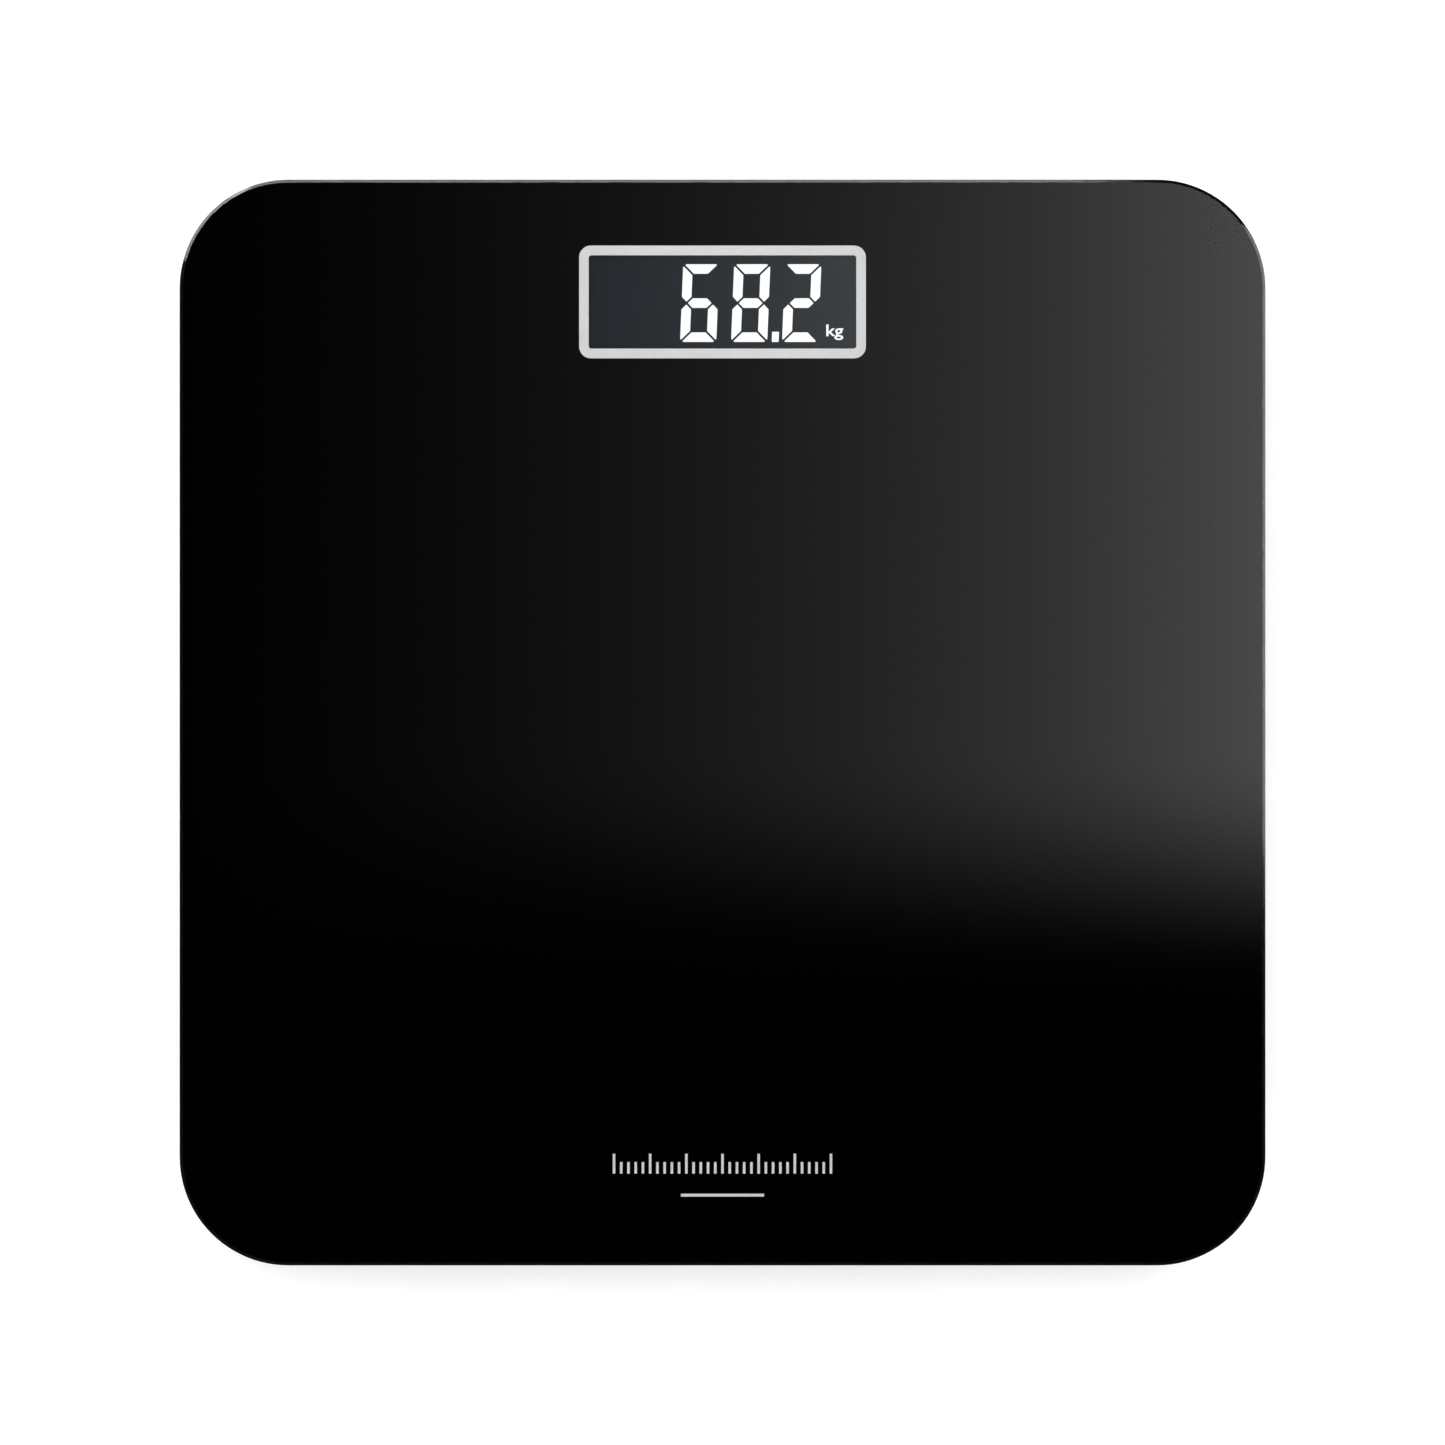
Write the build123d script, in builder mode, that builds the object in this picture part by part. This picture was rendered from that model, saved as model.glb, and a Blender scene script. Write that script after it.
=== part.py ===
from build123d import *
from math import radians, tan
import os

# Digital bathroom scale: a square tempered-glass platform bonded to a shallow moulded tray.
# The tray holds four load cells, each pressed by its own foot, and a display board with a coin cell.
# Millimetres. +Z is up, +Y points to the display, and the origin is on the floor under the middle.

# Platform
SIDE = 300.0
GLASS_CORNER = 30.0
GLASS = 5.0
ARRIS = 0.8
HEIGHT = 22.0

# Printed film and foam tape under the glass
FILM = 0.2
TAPE = 0.8
TAPE_WIDTH = 6.0

# Tray
OVERHANG = 7.0
TRAY_BOTTOM = 5.0
SKIN = 2.0
WALL = 2.2
WALL_LEAN = 12.0
TRAY_EDGE = 2.5
RIB = 1.5

# Load cells and feet, each centred on a corner of a square
FOOT_OFFSET = 100.0
FOOT_RADIUS = 20.0
FOOT_GAP = 0.5
FOOT_TRAVEL = 0.8
CELL_SIDE = 34.0
CELL = 2.4
CELL_BOTTOM = 10.4
EAR_REACH = 29.0

# Display, centred on the window
WINDOW = (74.0, 25.8)
WINDOW_CORNER = 0.8
FRAME = (79.3, 31.2)
FRAME_CORNER = 3.3
WINDOW_Y = 116.3

# Circuit board, coin cell and unit button
BOARD = 1.0
BOARD_BOTTOM = 10.6
BOARD_SIZE = (94.0, 77.3)
BOARD_Y = 96.65
COIN = (20.0, 78.0)
COIN_RADIUS = 10.0
BUTTON = (-20.0, 78.0)

# Levels worked out from the sizes above
GLASS_BOTTOM = HEIGHT - GLASS
FILM_BOTTOM = GLASS_BOTTOM - FILM
TRAY_TOP = FILM_BOTTOM - TAPE
FLOOR = TRAY_BOTTOM + SKIN
CELL_TOP = CELL_BOTTOM + CELL
BOARD_TOP = BOARD_BOTTOM + BOARD
TRAY_SIDE = SIDE - 2 * OVERHANG
TRAY_CORNER = GLASS_CORNER - OVERHANG
WIRE_RADIUS = 0.55
WIRE_PITCH = 1.4

UP = (Align.CENTER, Align.CENTER, Align.MIN)
DOWN = (Align.CENTER, Align.CENTER, Align.MAX)
CORNERS = {
    "front_left": (-1, -1),
    "front_right": (1, -1),
    "rear_left": (-1, 1),
    "rear_right": (1, 1),
}


def foot_centre(corner):
    """Where a corner's foot and load cell stand, from above."""
    side, end = CORNERS[corner]
    return side * FOOT_OFFSET, end * FOOT_OFFSET


def write(piece, name):
    """Labels a finished piece and writes it as one STEP file."""
    piece.part.label = name
    export_step(piece.part, f"parts/{name}.step")


# ---------------------------------------------------------------- platform


def glass_platform():
    """Tempered float glass with a small ground arris round both faces."""
    with BuildPart() as glass:
        with BuildSketch(Plane.XY.offset(GLASS_BOTTOM)):
            RectangleRounded(SIDE, SIDE, GLASS_CORNER)
        extrude(amount=GLASS)
        chamfer(glass.faces().filter_by(Axis.Z).edges(), length=ARRIS)
    return glass


MARK_Y = -124.75
MARK_WIDTH = 60.0
MARK_STEPS = 30
TICK = 0.7
LONG_TICK = 5.5
SHORT_TICK = 3.2
UNDERLINE_Y = -130.7
UNDERLINE = (23.0, 0.8)


def graduation_outline(mode=Mode.ADD):
    """A plain row of rule graduations over a short line, drawn in the open sketch."""
    bottom = (Align.CENTER, Align.MIN)
    for step in range(MARK_STEPS + 1):
        tall = LONG_TICK if step % 5 == 0 else SHORT_TICK
        x = MARK_WIDTH * (step / MARK_STEPS - 0.5)
        with Locations((x, MARK_Y)):
            Rectangle(TICK, tall, align=bottom, mode=mode)
    with Locations((0, UNDERLINE_Y)):
        Rectangle(*UNDERLINE, mode=mode)


def backing_film():
    """Black anti-shatter film bonded under the glass, open at the display and the light prints."""
    with BuildPart() as film:
        with BuildSketch(Plane.XY.offset(FILM_BOTTOM)):
            width = SIDE - 2 * ARRIS
            RectangleRounded(width, width, GLASS_CORNER - ARRIS)
            with Locations((0, WINDOW_Y)):
                RectangleRounded(*FRAME, FRAME_CORNER, mode=Mode.SUBTRACT)
            graduation_outline(Mode.SUBTRACT)
        extrude(amount=FILM)
    return film


def window_frame():
    """The pale frame printed round the display window."""
    with BuildPart() as frame:
        with BuildSketch(Plane.XY.offset(FILM_BOTTOM)):
            with Locations((0, WINDOW_Y)):
                RectangleRounded(*FRAME, FRAME_CORNER)
                RectangleRounded(*WINDOW, WINDOW_CORNER, mode=Mode.SUBTRACT)
        extrude(amount=FILM)
    return frame


def graduation_mark():
    with BuildPart() as mark:
        with BuildSketch(Plane.XY.offset(FILM_BOTTOM)):
            graduation_outline()
        extrude(amount=FILM)
    return mark


def perimeter_tape():
    """Foam tape that bonds the film to the tray's rim."""
    inset = 1.0
    outer = TRAY_SIDE - 2 * inset
    inner = outer - 2 * TAPE_WIDTH
    with BuildPart() as tape:
        with BuildSketch(Plane.XY.offset(TRAY_TOP)):
            RectangleRounded(outer, outer, TRAY_CORNER - inset)
            RectangleRounded(inner, inner, TRAY_CORNER - inset - TAPE_WIDTH, mode=Mode.SUBTRACT)
        extrude(amount=TAPE)
    return tape


# ---------------------------------------------------------------- tray

RIM_RIB = 137.2
RIM_RIB_CORNER = 17.0
RIM_RIB_THICK = 1.2
RIM_WEB_PITCH = 30.0
RIB_ROWS = (-60.0, -22.0, 14.0, 50.0)
RIB_COLUMNS = (-60.0, 60.0)
SHORT_COLUMNS = (-20.0, 20.0)
WELL_RADIUS = 25.0
WELL_WALL = 1.5
WELL_TOP = 9.8
CELL_BOSS_RADIUS = 3.75
CELL_PILOT = 1.35
BOARD_BOSSES = [(-43.0, 62.0), (43.0, 62.0), (-43.0, 93.0), (43.0, 93.0)]
BOARD_BOSS_RADIUS = 3.0
BOARD_PILOT = 1.15
BOARD_POSTS = [(-30.0, 131.0), (0.0, 131.0), (30.0, 131.0)]
POST_RADIUS = 2.5
LABEL = (60.0, 36.0)
LABEL_Y = -8.0
LABEL_RECESS = 0.3
LABEL_THICK = 0.15

# Battery door: it turns on two pins at its rear end and latches at its front end
DOOR_WIDTH = 25.0
DOOR_PLATE = 1.6
DOOR_FRONT = COIN[1] - 15.0
HINGE_Y = COIN[1] + 14.0
HINGE_Z = TRAY_BOTTOM + DOOR_PLATE
PIN_RADIUS = 0.7
PIN_HOLE_RADIUS = 0.75
PIN_REACH = 1.5
DOOR_GAP = 0.3
SWING_ROOM = 2.4
LATCH_WIDTH = 8.0
LATCH_FRONT = 58.9
LATCH_TOP = 9.4
NOSE_REACH = 0.6
CATCH_Y = 58.5
CATCH_ROOM = 0.6
NOSE_ROOM_Z = 6.4
TAB_FRONT = 57.4
DOOR_BLOCK_TOP = 9.2
COIN_WALL_TOP = 10.2
BUTTON_SIZE = (12.0, 7.0)
BUTTON_GAP = 0.3
BUTTON_FACE = 5.3


def tray_shell():
    """The leaning walls and the flat skin under them."""
    inner = TRAY_SIDE - 2 * WALL
    with BuildPart() as shell:
        with BuildSketch(Plane(origin=(0, 0, TRAY_TOP), z_dir=(0, 0, -1))):
            RectangleRounded(TRAY_SIDE, TRAY_SIDE, TRAY_CORNER)
        extrude(amount=TRAY_TOP - TRAY_BOTTOM, taper=WALL_LEAN)
        fillet(shell.faces().sort_by(Axis.Z)[0].edges(), radius=TRAY_EDGE)
        with BuildSketch(Plane(origin=(0, 0, TRAY_TOP), z_dir=(0, 0, -1))):
            RectangleRounded(inner, inner, TRAY_CORNER - WALL)
        extrude(amount=TRAY_TOP - FLOOR, taper=WALL_LEAN, mode=Mode.SUBTRACT)
    return shell.part


def rim_ribs():
    """The rim's second wall, and the webs that tie it to the leaning wall."""
    inner = RIM_RIB - RIM_RIB_THICK
    near = RIM_RIB - 0.5
    far = TRAY_SIDE / 2 - WALL + 0.1
    lean = (TRAY_TOP - FLOOR) * tan(radians(WALL_LEAN))
    web = [(near, TRAY_TOP), (far, TRAY_TOP), (far - lean, FLOOR), (near, FLOOR)]
    steps = [(step - 3.5) * RIM_WEB_PITCH for step in range(8)]
    with BuildPart() as ribs:
        with BuildSketch(Plane.XY.offset(FLOOR)):
            RectangleRounded(2 * RIM_RIB, 2 * RIM_RIB, RIM_RIB_CORNER)
            RectangleRounded(
                2 * inner, 2 * inner, RIM_RIB_CORNER - RIM_RIB_THICK, mode=Mode.SUBTRACT
            )
        extrude(amount=TRAY_TOP - FLOOR)
        for plane in [side.offset(step) for side in (Plane.XZ, Plane.YZ) for step in steps]:
            with BuildSketch(plane):
                Polygon(*web, align=None)
                mirror(about=Plane.YZ)
            extrude(amount=RIM_RIB_THICK / 2, both=True)
    return ribs.part


def low_ribs():
    """Stiffening ribs on the skin, as high as the wires that cross them."""
    span = 2 * RIM_RIB - RIM_RIB_THICK
    short_end = RIB_ROWS[-1]
    with BuildPart() as ribs:
        with BuildSketch(Plane.XY.offset(FLOOR)):
            for y in RIB_ROWS:
                with Locations((0, y)):
                    Rectangle(span, RIB)
            for x in RIB_COLUMNS:
                with Locations((x, 0)):
                    Rectangle(RIB, span)
            for x in SHORT_COLUMNS:
                with Locations((x, (short_end - span / 2) / 2)):
                    Rectangle(RIB, short_end + span / 2)
        extrude(amount=CELL_TOP - FLOOR)
    return ribs.part


def stand_bosses(centres, radius, top, pilot=0.0, depth=0.0):
    """Round bosses on the tray's floor, with blind pilot holes, in the open part."""
    with Locations(*[(x, y, FLOOR) for x, y in centres]):
        Cylinder(radius, top - FLOOR, align=UP)
    if pilot:
        with Locations(*[(x, y, top) for x, y in centres]):
            Cylinder(pilot, depth, align=DOWN, mode=Mode.SUBTRACT)


def cell_bosses():
    """Centres of the two bosses beside each load cell."""
    centres = [foot_centre(corner) for corner in CORNERS]
    return [(x, y + reach) for x, y in centres for reach in (-EAR_REACH, EAR_REACH)]


def well_walls():
    """Round walls that keep dust off the load cells."""
    with BuildPart() as walls:
        with BuildSketch(Plane.XY.offset(FLOOR)):
            with Locations(*[foot_centre(corner) for corner in CORNERS]):
                Circle(WELL_RADIUS)
                Circle(WELL_RADIUS - WELL_WALL, mode=Mode.SUBTRACT)
        extrude(amount=WELL_TOP - FLOOR)
    return walls.part


def foot_openings():
    """The holes the feet pass through, each with a round groove outside it."""
    centres = [foot_centre(corner) for corner in CORNERS]
    groove_inner, groove_outer, groove_depth = 22.5, 24.5, 0.6
    with BuildPart() as openings:
        with BuildSketch(Plane.XY.offset(TRAY_BOTTOM)):
            with Locations(*centres):
                Circle(FOOT_RADIUS + FOOT_GAP)
        extrude(amount=SKIN)
        with BuildSketch(Plane.XY.offset(TRAY_BOTTOM)):
            with Locations(*centres):
                Circle(groove_outer)
                Circle(groove_inner, mode=Mode.SUBTRACT)
        extrude(amount=groove_depth)
    return openings.part


def battery_surround():
    """The thick block round the battery door, and the coin cell's round wall."""
    with BuildPart() as surround:
        with BuildSketch(Plane.XY.offset(FLOOR)):
            with Locations((COIN[0], (TAB_FRONT + HINGE_Y) / 2 + 0.5)):
                RectangleRounded(30.0, 41.0, 2.0)
        extrude(amount=DOOR_BLOCK_TOP - FLOOR)
        with Locations((*COIN, FLOOR)):
            Cylinder(COIN_RADIUS + 2.0, COIN_WALL_TOP - FLOOR, align=UP)
    return surround.part


def battery_openings():
    """Room for the coin cell, its contact, the door, the door's pins and latch, and a fingertip."""
    opening = DOOR_WIDTH + 2 * DOOR_GAP
    notch = LATCH_WIDTH + 1.0
    forward = (Align.CENTER, Align.MIN, Align.MIN)
    scoop_radius, scoop_depth = 9.0, 1.0
    with BuildPart() as openings:
        with Locations((*COIN, TRAY_BOTTOM)):
            Cylinder(COIN_RADIUS + 0.4, COIN_WALL_TOP - TRAY_BOTTOM, align=UP)
        with Locations((COIN[0], DOOR_FRONT - DOOR_GAP, TRAY_BOTTOM)):
            Box(opening, HINGE_Y - DOOR_FRONT + SWING_ROOM, DOOR_PLATE + 0.2, align=forward)
        with Locations(Location((COIN[0], HINGE_Y, HINGE_Z), (0, 90, 0))):
            Cylinder(DOOR_PLATE + DOOR_GAP, opening)
            Cylinder(PIN_HOLE_RADIUS, DOOR_WIDTH + 2 * PIN_REACH + 0.4)
        with Locations((COIN[0], TAB_FRONT - DOOR_GAP, TRAY_BOTTOM)):
            Box(notch, DOOR_FRONT - TAB_FRONT + 0.5, 1.2, align=forward)
        with Locations((COIN[0], CATCH_Y, TRAY_BOTTOM)):
            Box(notch, DOOR_FRONT - CATCH_Y + 0.4, LATCH_TOP - TRAY_BOTTOM + 0.4, align=forward)
        with Locations((COIN[0], CATCH_Y - CATCH_ROOM, NOSE_ROOM_Z)):
            Box(notch, CATCH_ROOM + 0.1, LATCH_TOP - NOSE_ROOM_Z + 0.4, align=forward)
        with Locations((COIN[0], TAB_FRONT, TRAY_BOTTOM - scoop_radius + scoop_depth)):
            Sphere(scoop_radius)
        with Locations((COIN[0] + COIN_RADIUS + 0.4, COIN[1], FLOOR + 0.2)):
            Box(2.6, 7.0, 4.0, align=UP)
    return openings.part


def button_openings():
    """A shallow round dish with the unit button's slot through it."""
    dish_radius, dish_depth = 11.0, 0.6
    with BuildPart() as openings:
        with BuildSketch(Plane.XY.offset(TRAY_BOTTOM)):
            with Locations(BUTTON):
                Circle(dish_radius)
        extrude(amount=dish_depth)
        with BuildSketch(Plane.XY.offset(TRAY_BOTTOM)):
            with Locations(BUTTON):
                SlotOverall(BUTTON_SIZE[0] + 2 * BUTTON_GAP, BUTTON_SIZE[1] + 2 * BUTTON_GAP)
        extrude(amount=SKIN)
    return openings.part


def base_tray():
    """Moulded tray that carries everything under the glass."""
    with BuildPart() as tray:
        add(tray_shell())
        add(rim_ribs())
        add(low_ribs())
        add(well_walls())
        add(battery_surround())
        stand_bosses(cell_bosses(), CELL_BOSS_RADIUS, CELL_TOP, CELL_PILOT, 5.5)
        stand_bosses(BOARD_BOSSES, BOARD_BOSS_RADIUS, BOARD_BOTTOM, BOARD_PILOT, 3.2)
        stand_bosses(BOARD_POSTS, POST_RADIUS, BOARD_BOTTOM)
        add(foot_openings(), mode=Mode.SUBTRACT)
        add(battery_openings(), mode=Mode.SUBTRACT)
        add(button_openings(), mode=Mode.SUBTRACT)
        with BuildSketch(Plane.XY.offset(TRAY_BOTTOM)):
            with Locations((0, LABEL_Y)):
                RectangleRounded(LABEL[0] + 1, LABEL[1] + 1, 2.5)
        extrude(amount=LABEL_RECESS, mode=Mode.SUBTRACT)
    return tray


def rating_label():
    with BuildPart() as label:
        with BuildSketch(Plane.XY.offset(TRAY_BOTTOM + LABEL_RECESS - LABEL_THICK)):
            with Locations((0, LABEL_Y)):
                RectangleRounded(*LABEL, 2.0)
        extrude(amount=LABEL_THICK)
    return label


# ---------------------------------------------------------------- load cells and feet

TONGUE_WIDTH = 14.0
SLOT = 3.0
TONGUE_ROOT = 10.0
TONGUE_TIP = -9.0
BOSS_TIP_RADIUS = 3.0


def load_cell(corner):
    """Steel plate with a tongue freed by a U-shaped slot. The tongue's root faces the middle."""
    x, y = foot_centre(corner)
    inward = -CORNERS[corner][0]
    slot_end = TONGUE_TIP - SLOT
    with BuildPart() as cell:
        with BuildSketch(Plane.XY.offset(CELL_BOTTOM)):
            with Locations((x, y)):
                RectangleRounded(CELL_SIDE, CELL_SIDE, 3.0)
            with Locations((x + inward * (TONGUE_ROOT + slot_end) / 2, y)):
                Rectangle(TONGUE_ROOT - slot_end, TONGUE_WIDTH + 2 * SLOT, mode=Mode.SUBTRACT)
            with Locations((x + inward * (TONGUE_ROOT + TONGUE_TIP) / 2, y)):
                Rectangle(TONGUE_ROOT - TONGUE_TIP + 0.02, TONGUE_WIDTH)
        extrude(amount=CELL)
        inner_corners = cell.edges().filter_by(Axis.Z).filter_by_position(
            Axis.Y, y - TONGUE_WIDTH / 2 - SLOT - 0.1, y + TONGUE_WIDTH / 2 + SLOT + 0.1
        )
        fillet(inner_corners, radius=1.2)
    return cell


GAUGE_X = 6.5
GAUGE_SIZE = (7.0, 9.0, 0.9)


def strain_gauges():
    """Domes of white sealant over the gauges bonded on the tongues."""
    with BuildPart() as gauges:
        for corner in CORNERS:
            x, y = foot_centre(corner)
            inward = -CORNERS[corner][0]
            with BuildSketch(Plane.XY.offset(CELL_TOP)):
                with Locations((x + inward * GAUGE_X, y)):
                    RectangleRounded(*GAUGE_SIZE[:2], 2.0)
            extrude(amount=GAUGE_SIZE[2], taper=25)
    return gauges


BRACKET_SIDE = 42.0
BRACKET_SKIRT = 10.0
BRACKET_TOP = 16.2
BRACKET_ROOM = 14.4
EAR = 1.8
EAR_RADIUS = 5.0


def cell_bracket(corner):
    """Moulded block that spreads the platform's load onto the cell's outer ring."""
    x, y = foot_centre(corner)
    inward = -CORNERS[corner][0]
    with BuildPart() as bracket:
        with BuildSketch(Plane.XY.offset(BRACKET_SKIRT)):
            with Locations((x, y)):
                RectangleRounded(BRACKET_SIDE, BRACKET_SIDE, 5.0)
        extrude(amount=BRACKET_TOP - BRACKET_SKIRT)
        chamfer(bracket.faces().sort_by(Axis.Z)[-1].edges(), length=0.6)
        with BuildSketch(Plane.XY.offset(CELL_TOP)):
            with Locations((x, y)):
                SlotOverall(2 * (EAR_REACH + EAR_RADIUS), 2 * EAR_RADIUS, rotation=90)
        extrude(amount=EAR)
        with BuildSketch(Plane.XY.offset(BRACKET_SKIRT)):
            with Locations((x, y)):
                RectangleRounded(CELL_SIDE + 0.8, CELL_SIDE + 0.8, 3.4)
        extrude(amount=CELL_TOP - BRACKET_SKIRT, mode=Mode.SUBTRACT)
        with BuildSketch(Plane.XY.offset(CELL_TOP)):
            with Locations((x, y)):
                RectangleRounded(26.0, 26.0, 2.0)
        extrude(amount=BRACKET_ROOM - CELL_TOP, mode=Mode.SUBTRACT)
        with BuildSketch(Plane.XY.offset(CELL_TOP - 0.2)):
            with Locations((x + inward * BRACKET_SIDE / 2, y)):
                Rectangle(20.0, 7.0)
        extrude(amount=1.8, mode=Mode.SUBTRACT)
        with Locations((x, y + EAR_REACH, CELL_TOP), (x, y - EAR_REACH, CELL_TOP)):
            Cylinder(1.5, EAR, align=UP, mode=Mode.SUBTRACT)
    return bracket


def bracket_pads():
    """Adhesive foam pads between the brackets and the film."""
    with BuildPart() as pads:
        with BuildSketch(Plane.XY.offset(BRACKET_TOP)):
            with Locations(*[foot_centre(corner) for corner in CORNERS]):
                RectangleRounded(BRACKET_SIDE - 3, BRACKET_SIDE - 3, 4.0)
        extrude(amount=FILM_BOTTOM - BRACKET_TOP)
    return pads


def pan_screw(shank_radius, shank_length, head_radius, head_height):
    """A cross-recessed pan-head screw standing at the origin, with its shank below."""
    with BuildPart() as fastener:
        Cylinder(head_radius, head_height, align=UP)
        fillet(fastener.edges().sort_by(Axis.Z)[-1], radius=head_height * 0.45)
        Cylinder(shank_radius, shank_length, align=DOWN)
        chamfer(fastener.edges().sort_by(Axis.Z)[0], length=shank_radius * 0.5)
        with Locations((0, 0, head_height)):
            arm = head_radius * 1.2
            Box(arm, arm * 0.24, head_height * 0.5, align=DOWN, mode=Mode.SUBTRACT)
            Box(arm * 0.24, arm, head_height * 0.5, align=DOWN, mode=Mode.SUBTRACT)
    return fastener.part


def bracket_screws():
    screw = pan_screw(1.3, 5.0, 2.5, 1.6)
    with BuildPart() as screws:
        with Locations(*[(x, y, CELL_TOP + EAR) for x, y in cell_bosses()]):
            add(screw)
    return screws


FOOT_RIM_Z = 1.2
PAD_SEAT_Z = 2.6
PAD_RADIUS = 18.0
FLANGE_RADIUS = 22.5
FLANGE_Z = 7.4
FLANGE_TOP = 8.6


def foot(corner):
    """Cup-shaped foot. Its flange keeps it in the tray, and its boss bears on the cell's tongue."""
    x, y = foot_centre(corner)
    wall = 2.0
    floor_z = PAD_SEAT_Z + 1.6
    with BuildPart() as cup:
        with Locations((x, y, FOOT_RIM_Z)):
            Cylinder(FOOT_RADIUS, FLANGE_TOP - FOOT_RIM_Z, align=UP)
        fillet(cup.edges().sort_by(Axis.Z)[0], radius=0.6)
        with Locations((x, y, FLANGE_Z)):
            Cylinder(FLANGE_RADIUS, FLANGE_TOP - FLANGE_Z, align=UP)
        with Locations((x, y, floor_z)):
            Cylinder(FOOT_RADIUS - wall, FLANGE_TOP - floor_z, align=UP, mode=Mode.SUBTRACT)
        with Locations((x, y, FOOT_RIM_Z)):
            Cylinder(
                PAD_RADIUS + 0.2, PAD_SEAT_Z - FOOT_RIM_Z, align=UP, mode=Mode.SUBTRACT
            )
        rib_height = FLANGE_TOP - 0.6 - floor_z
        with Locations((x, y, floor_z)):
            with PolarLocations(0, 3, angular_range=180):
                Box(2 * FOOT_RADIUS - wall, 1.4, rib_height, align=UP)
            Cylinder(BOSS_TIP_RADIUS + 2.0, rib_height, align=UP)
            Cylinder(BOSS_TIP_RADIUS, CELL_BOTTOM - floor_z, align=UP)
        fillet(cup.edges().sort_by(Axis.Z)[-1], radius=0.5)
    return cup


def foot_pad(corner):
    """Rubber disc pressed into the foot, with round grooves in the face that stands on the floor."""
    x, y = foot_centre(corner)
    with BuildPart() as pad:
        with Locations((x, y, 0)):
            Cylinder(PAD_RADIUS, PAD_SEAT_Z, align=UP)
        fillet(pad.edges().sort_by(Axis.Z)[0], radius=0.5)
        with BuildSketch(Plane.XY):
            with Locations((x, y)):
                Circle(3.0)
                for middle in (7.0, 14.5):
                    Circle(middle + 0.6)
                    Circle(middle - 0.6, mode=Mode.SUBTRACT)
                    if middle == 7.0:
                        Circle(3.0)
        extrude(amount=0.5, mode=Mode.SUBTRACT)
    return pad


# ---------------------------------------------------------------- display

HOUSING = (92.0, 38.0)
POCKET = (80.0, 34.0)
HOUSING_TOP = 16.2
HOUSING_SCREWS = [(-43.0, 101.3), (43.0, 101.3), (-43.0, 131.3), (43.0, 131.3)]
PANEL = (79.4, 33.4)
PANEL_GLASS = 0.8
POLARISER = 0.2
PANEL_LEDGE = 3.0
FRONT_GLASS_TOP = 15.8
FRONT_GLASS_BOTTOM = FRONT_GLASS_TOP - PANEL_GLASS
REAR_GLASS_BOTTOM = FRONT_GLASS_BOTTOM - PANEL_GLASS
GUIDE_TOP = REAR_GLASS_BOTTOM - POLARISER
GUIDE_BOTTOM = BOARD_TOP + 0.2
REAR_Y = WINDOW_Y + PANEL_LEDGE / 2
REAR_DEPTH = PANEL[1] - PANEL_LEDGE
GUIDE = (75.0, 30.0)
LED_X = 38.5


def plate(bottom, thick, size, centre_y, corner=0.3):
    """A flat rectangular piece centred on the display's middle line."""
    with BuildPart() as flat:
        with BuildSketch(Plane.XY.offset(bottom)):
            with Locations((0, centre_y)):
                RectangleRounded(*size, corner)
        extrude(amount=thick)
    return flat


def window_gasket():
    with BuildPart() as gasket:
        with BuildSketch(Plane.XY.offset(HOUSING_TOP)):
            with Locations((0, WINDOW_Y)):
                RectangleRounded(HOUSING[0] - 0.4, HOUSING[1] - 0.4, 1.8)
                RectangleRounded(POCKET[0] + 0.6, POCKET[1] + 0.6, 0.5, mode=Mode.SUBTRACT)
        extrude(amount=FILM_BOTTOM - HOUSING_TOP)
    return gasket


def display_housing():
    """Black frame round the display, screwed to the board from below."""
    with BuildPart() as housing:
        with BuildSketch(Plane.XY.offset(BOARD_TOP)):
            with Locations((0, WINDOW_Y)):
                RectangleRounded(*HOUSING, 2.0)
                RectangleRounded(*POCKET, 0.5, mode=Mode.SUBTRACT)
        extrude(amount=HOUSING_TOP - BOARD_TOP)
        with Locations(*[(x, y, BOARD_TOP) for x, y in HOUSING_SCREWS]):
            Cylinder(BOARD_PILOT, 3.4, align=UP, mode=Mode.SUBTRACT)
    return housing


def backlight_leds():
    with BuildPart() as leds:
        with Locations((0, REAR_Y, BOARD_TOP)):
            with GridLocations(2 * LED_X, 14.0, 2, 2):
                Box(1.6, 3.0, 1.4, align=UP)
    return leds


def elastomer_connector():
    """Striped rubber strip that joins the display's front glass to the board."""
    strip_y = WINDOW_Y - PANEL[1] / 2 + 1.0
    with BuildPart() as strip:
        with Locations((0, strip_y, BOARD_TOP)):
            Box(74.0, 2.0, FRONT_GLASS_BOTTOM - BOARD_TOP, align=UP)
    return strip


# ---------------------------------------------------------------- circuit board

CAP_CENTRE = (-6.0, 72.0)
CAP_RADIUS = 6.5
CAP_HEIGHT = 1.5
SWITCH_BOTTOM = 8.8
SWITCH_ROOM = 0.9
BUTTON_FLANGE_Z = 7.2
BUTTON_TOP = 8.0
PLUNGER_TOP = 9.1


def main_board():
    with BuildPart() as board:
        with BuildSketch(Plane.XY.offset(BOARD_BOTTOM)):
            with Locations((0, BOARD_Y)):
                RectangleRounded(*BOARD_SIZE, 2.0)
            with Locations(*BOARD_BOSSES, *HOUSING_SCREWS):
                Circle(1.3, mode=Mode.SUBTRACT)
        extrude(amount=BOARD)
    return board


def controller_cap():
    """Black epoxy poured over the bare controller chip."""
    with BuildPart() as cap:
        with Locations((*CAP_CENTRE, BOARD_TOP)):
            Cylinder(CAP_RADIUS, CAP_HEIGHT, align=UP)
        fillet(cap.edges().sort_by(Axis.Z)[-1], radius=CAP_HEIGHT * 0.9)
    return cap


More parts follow.
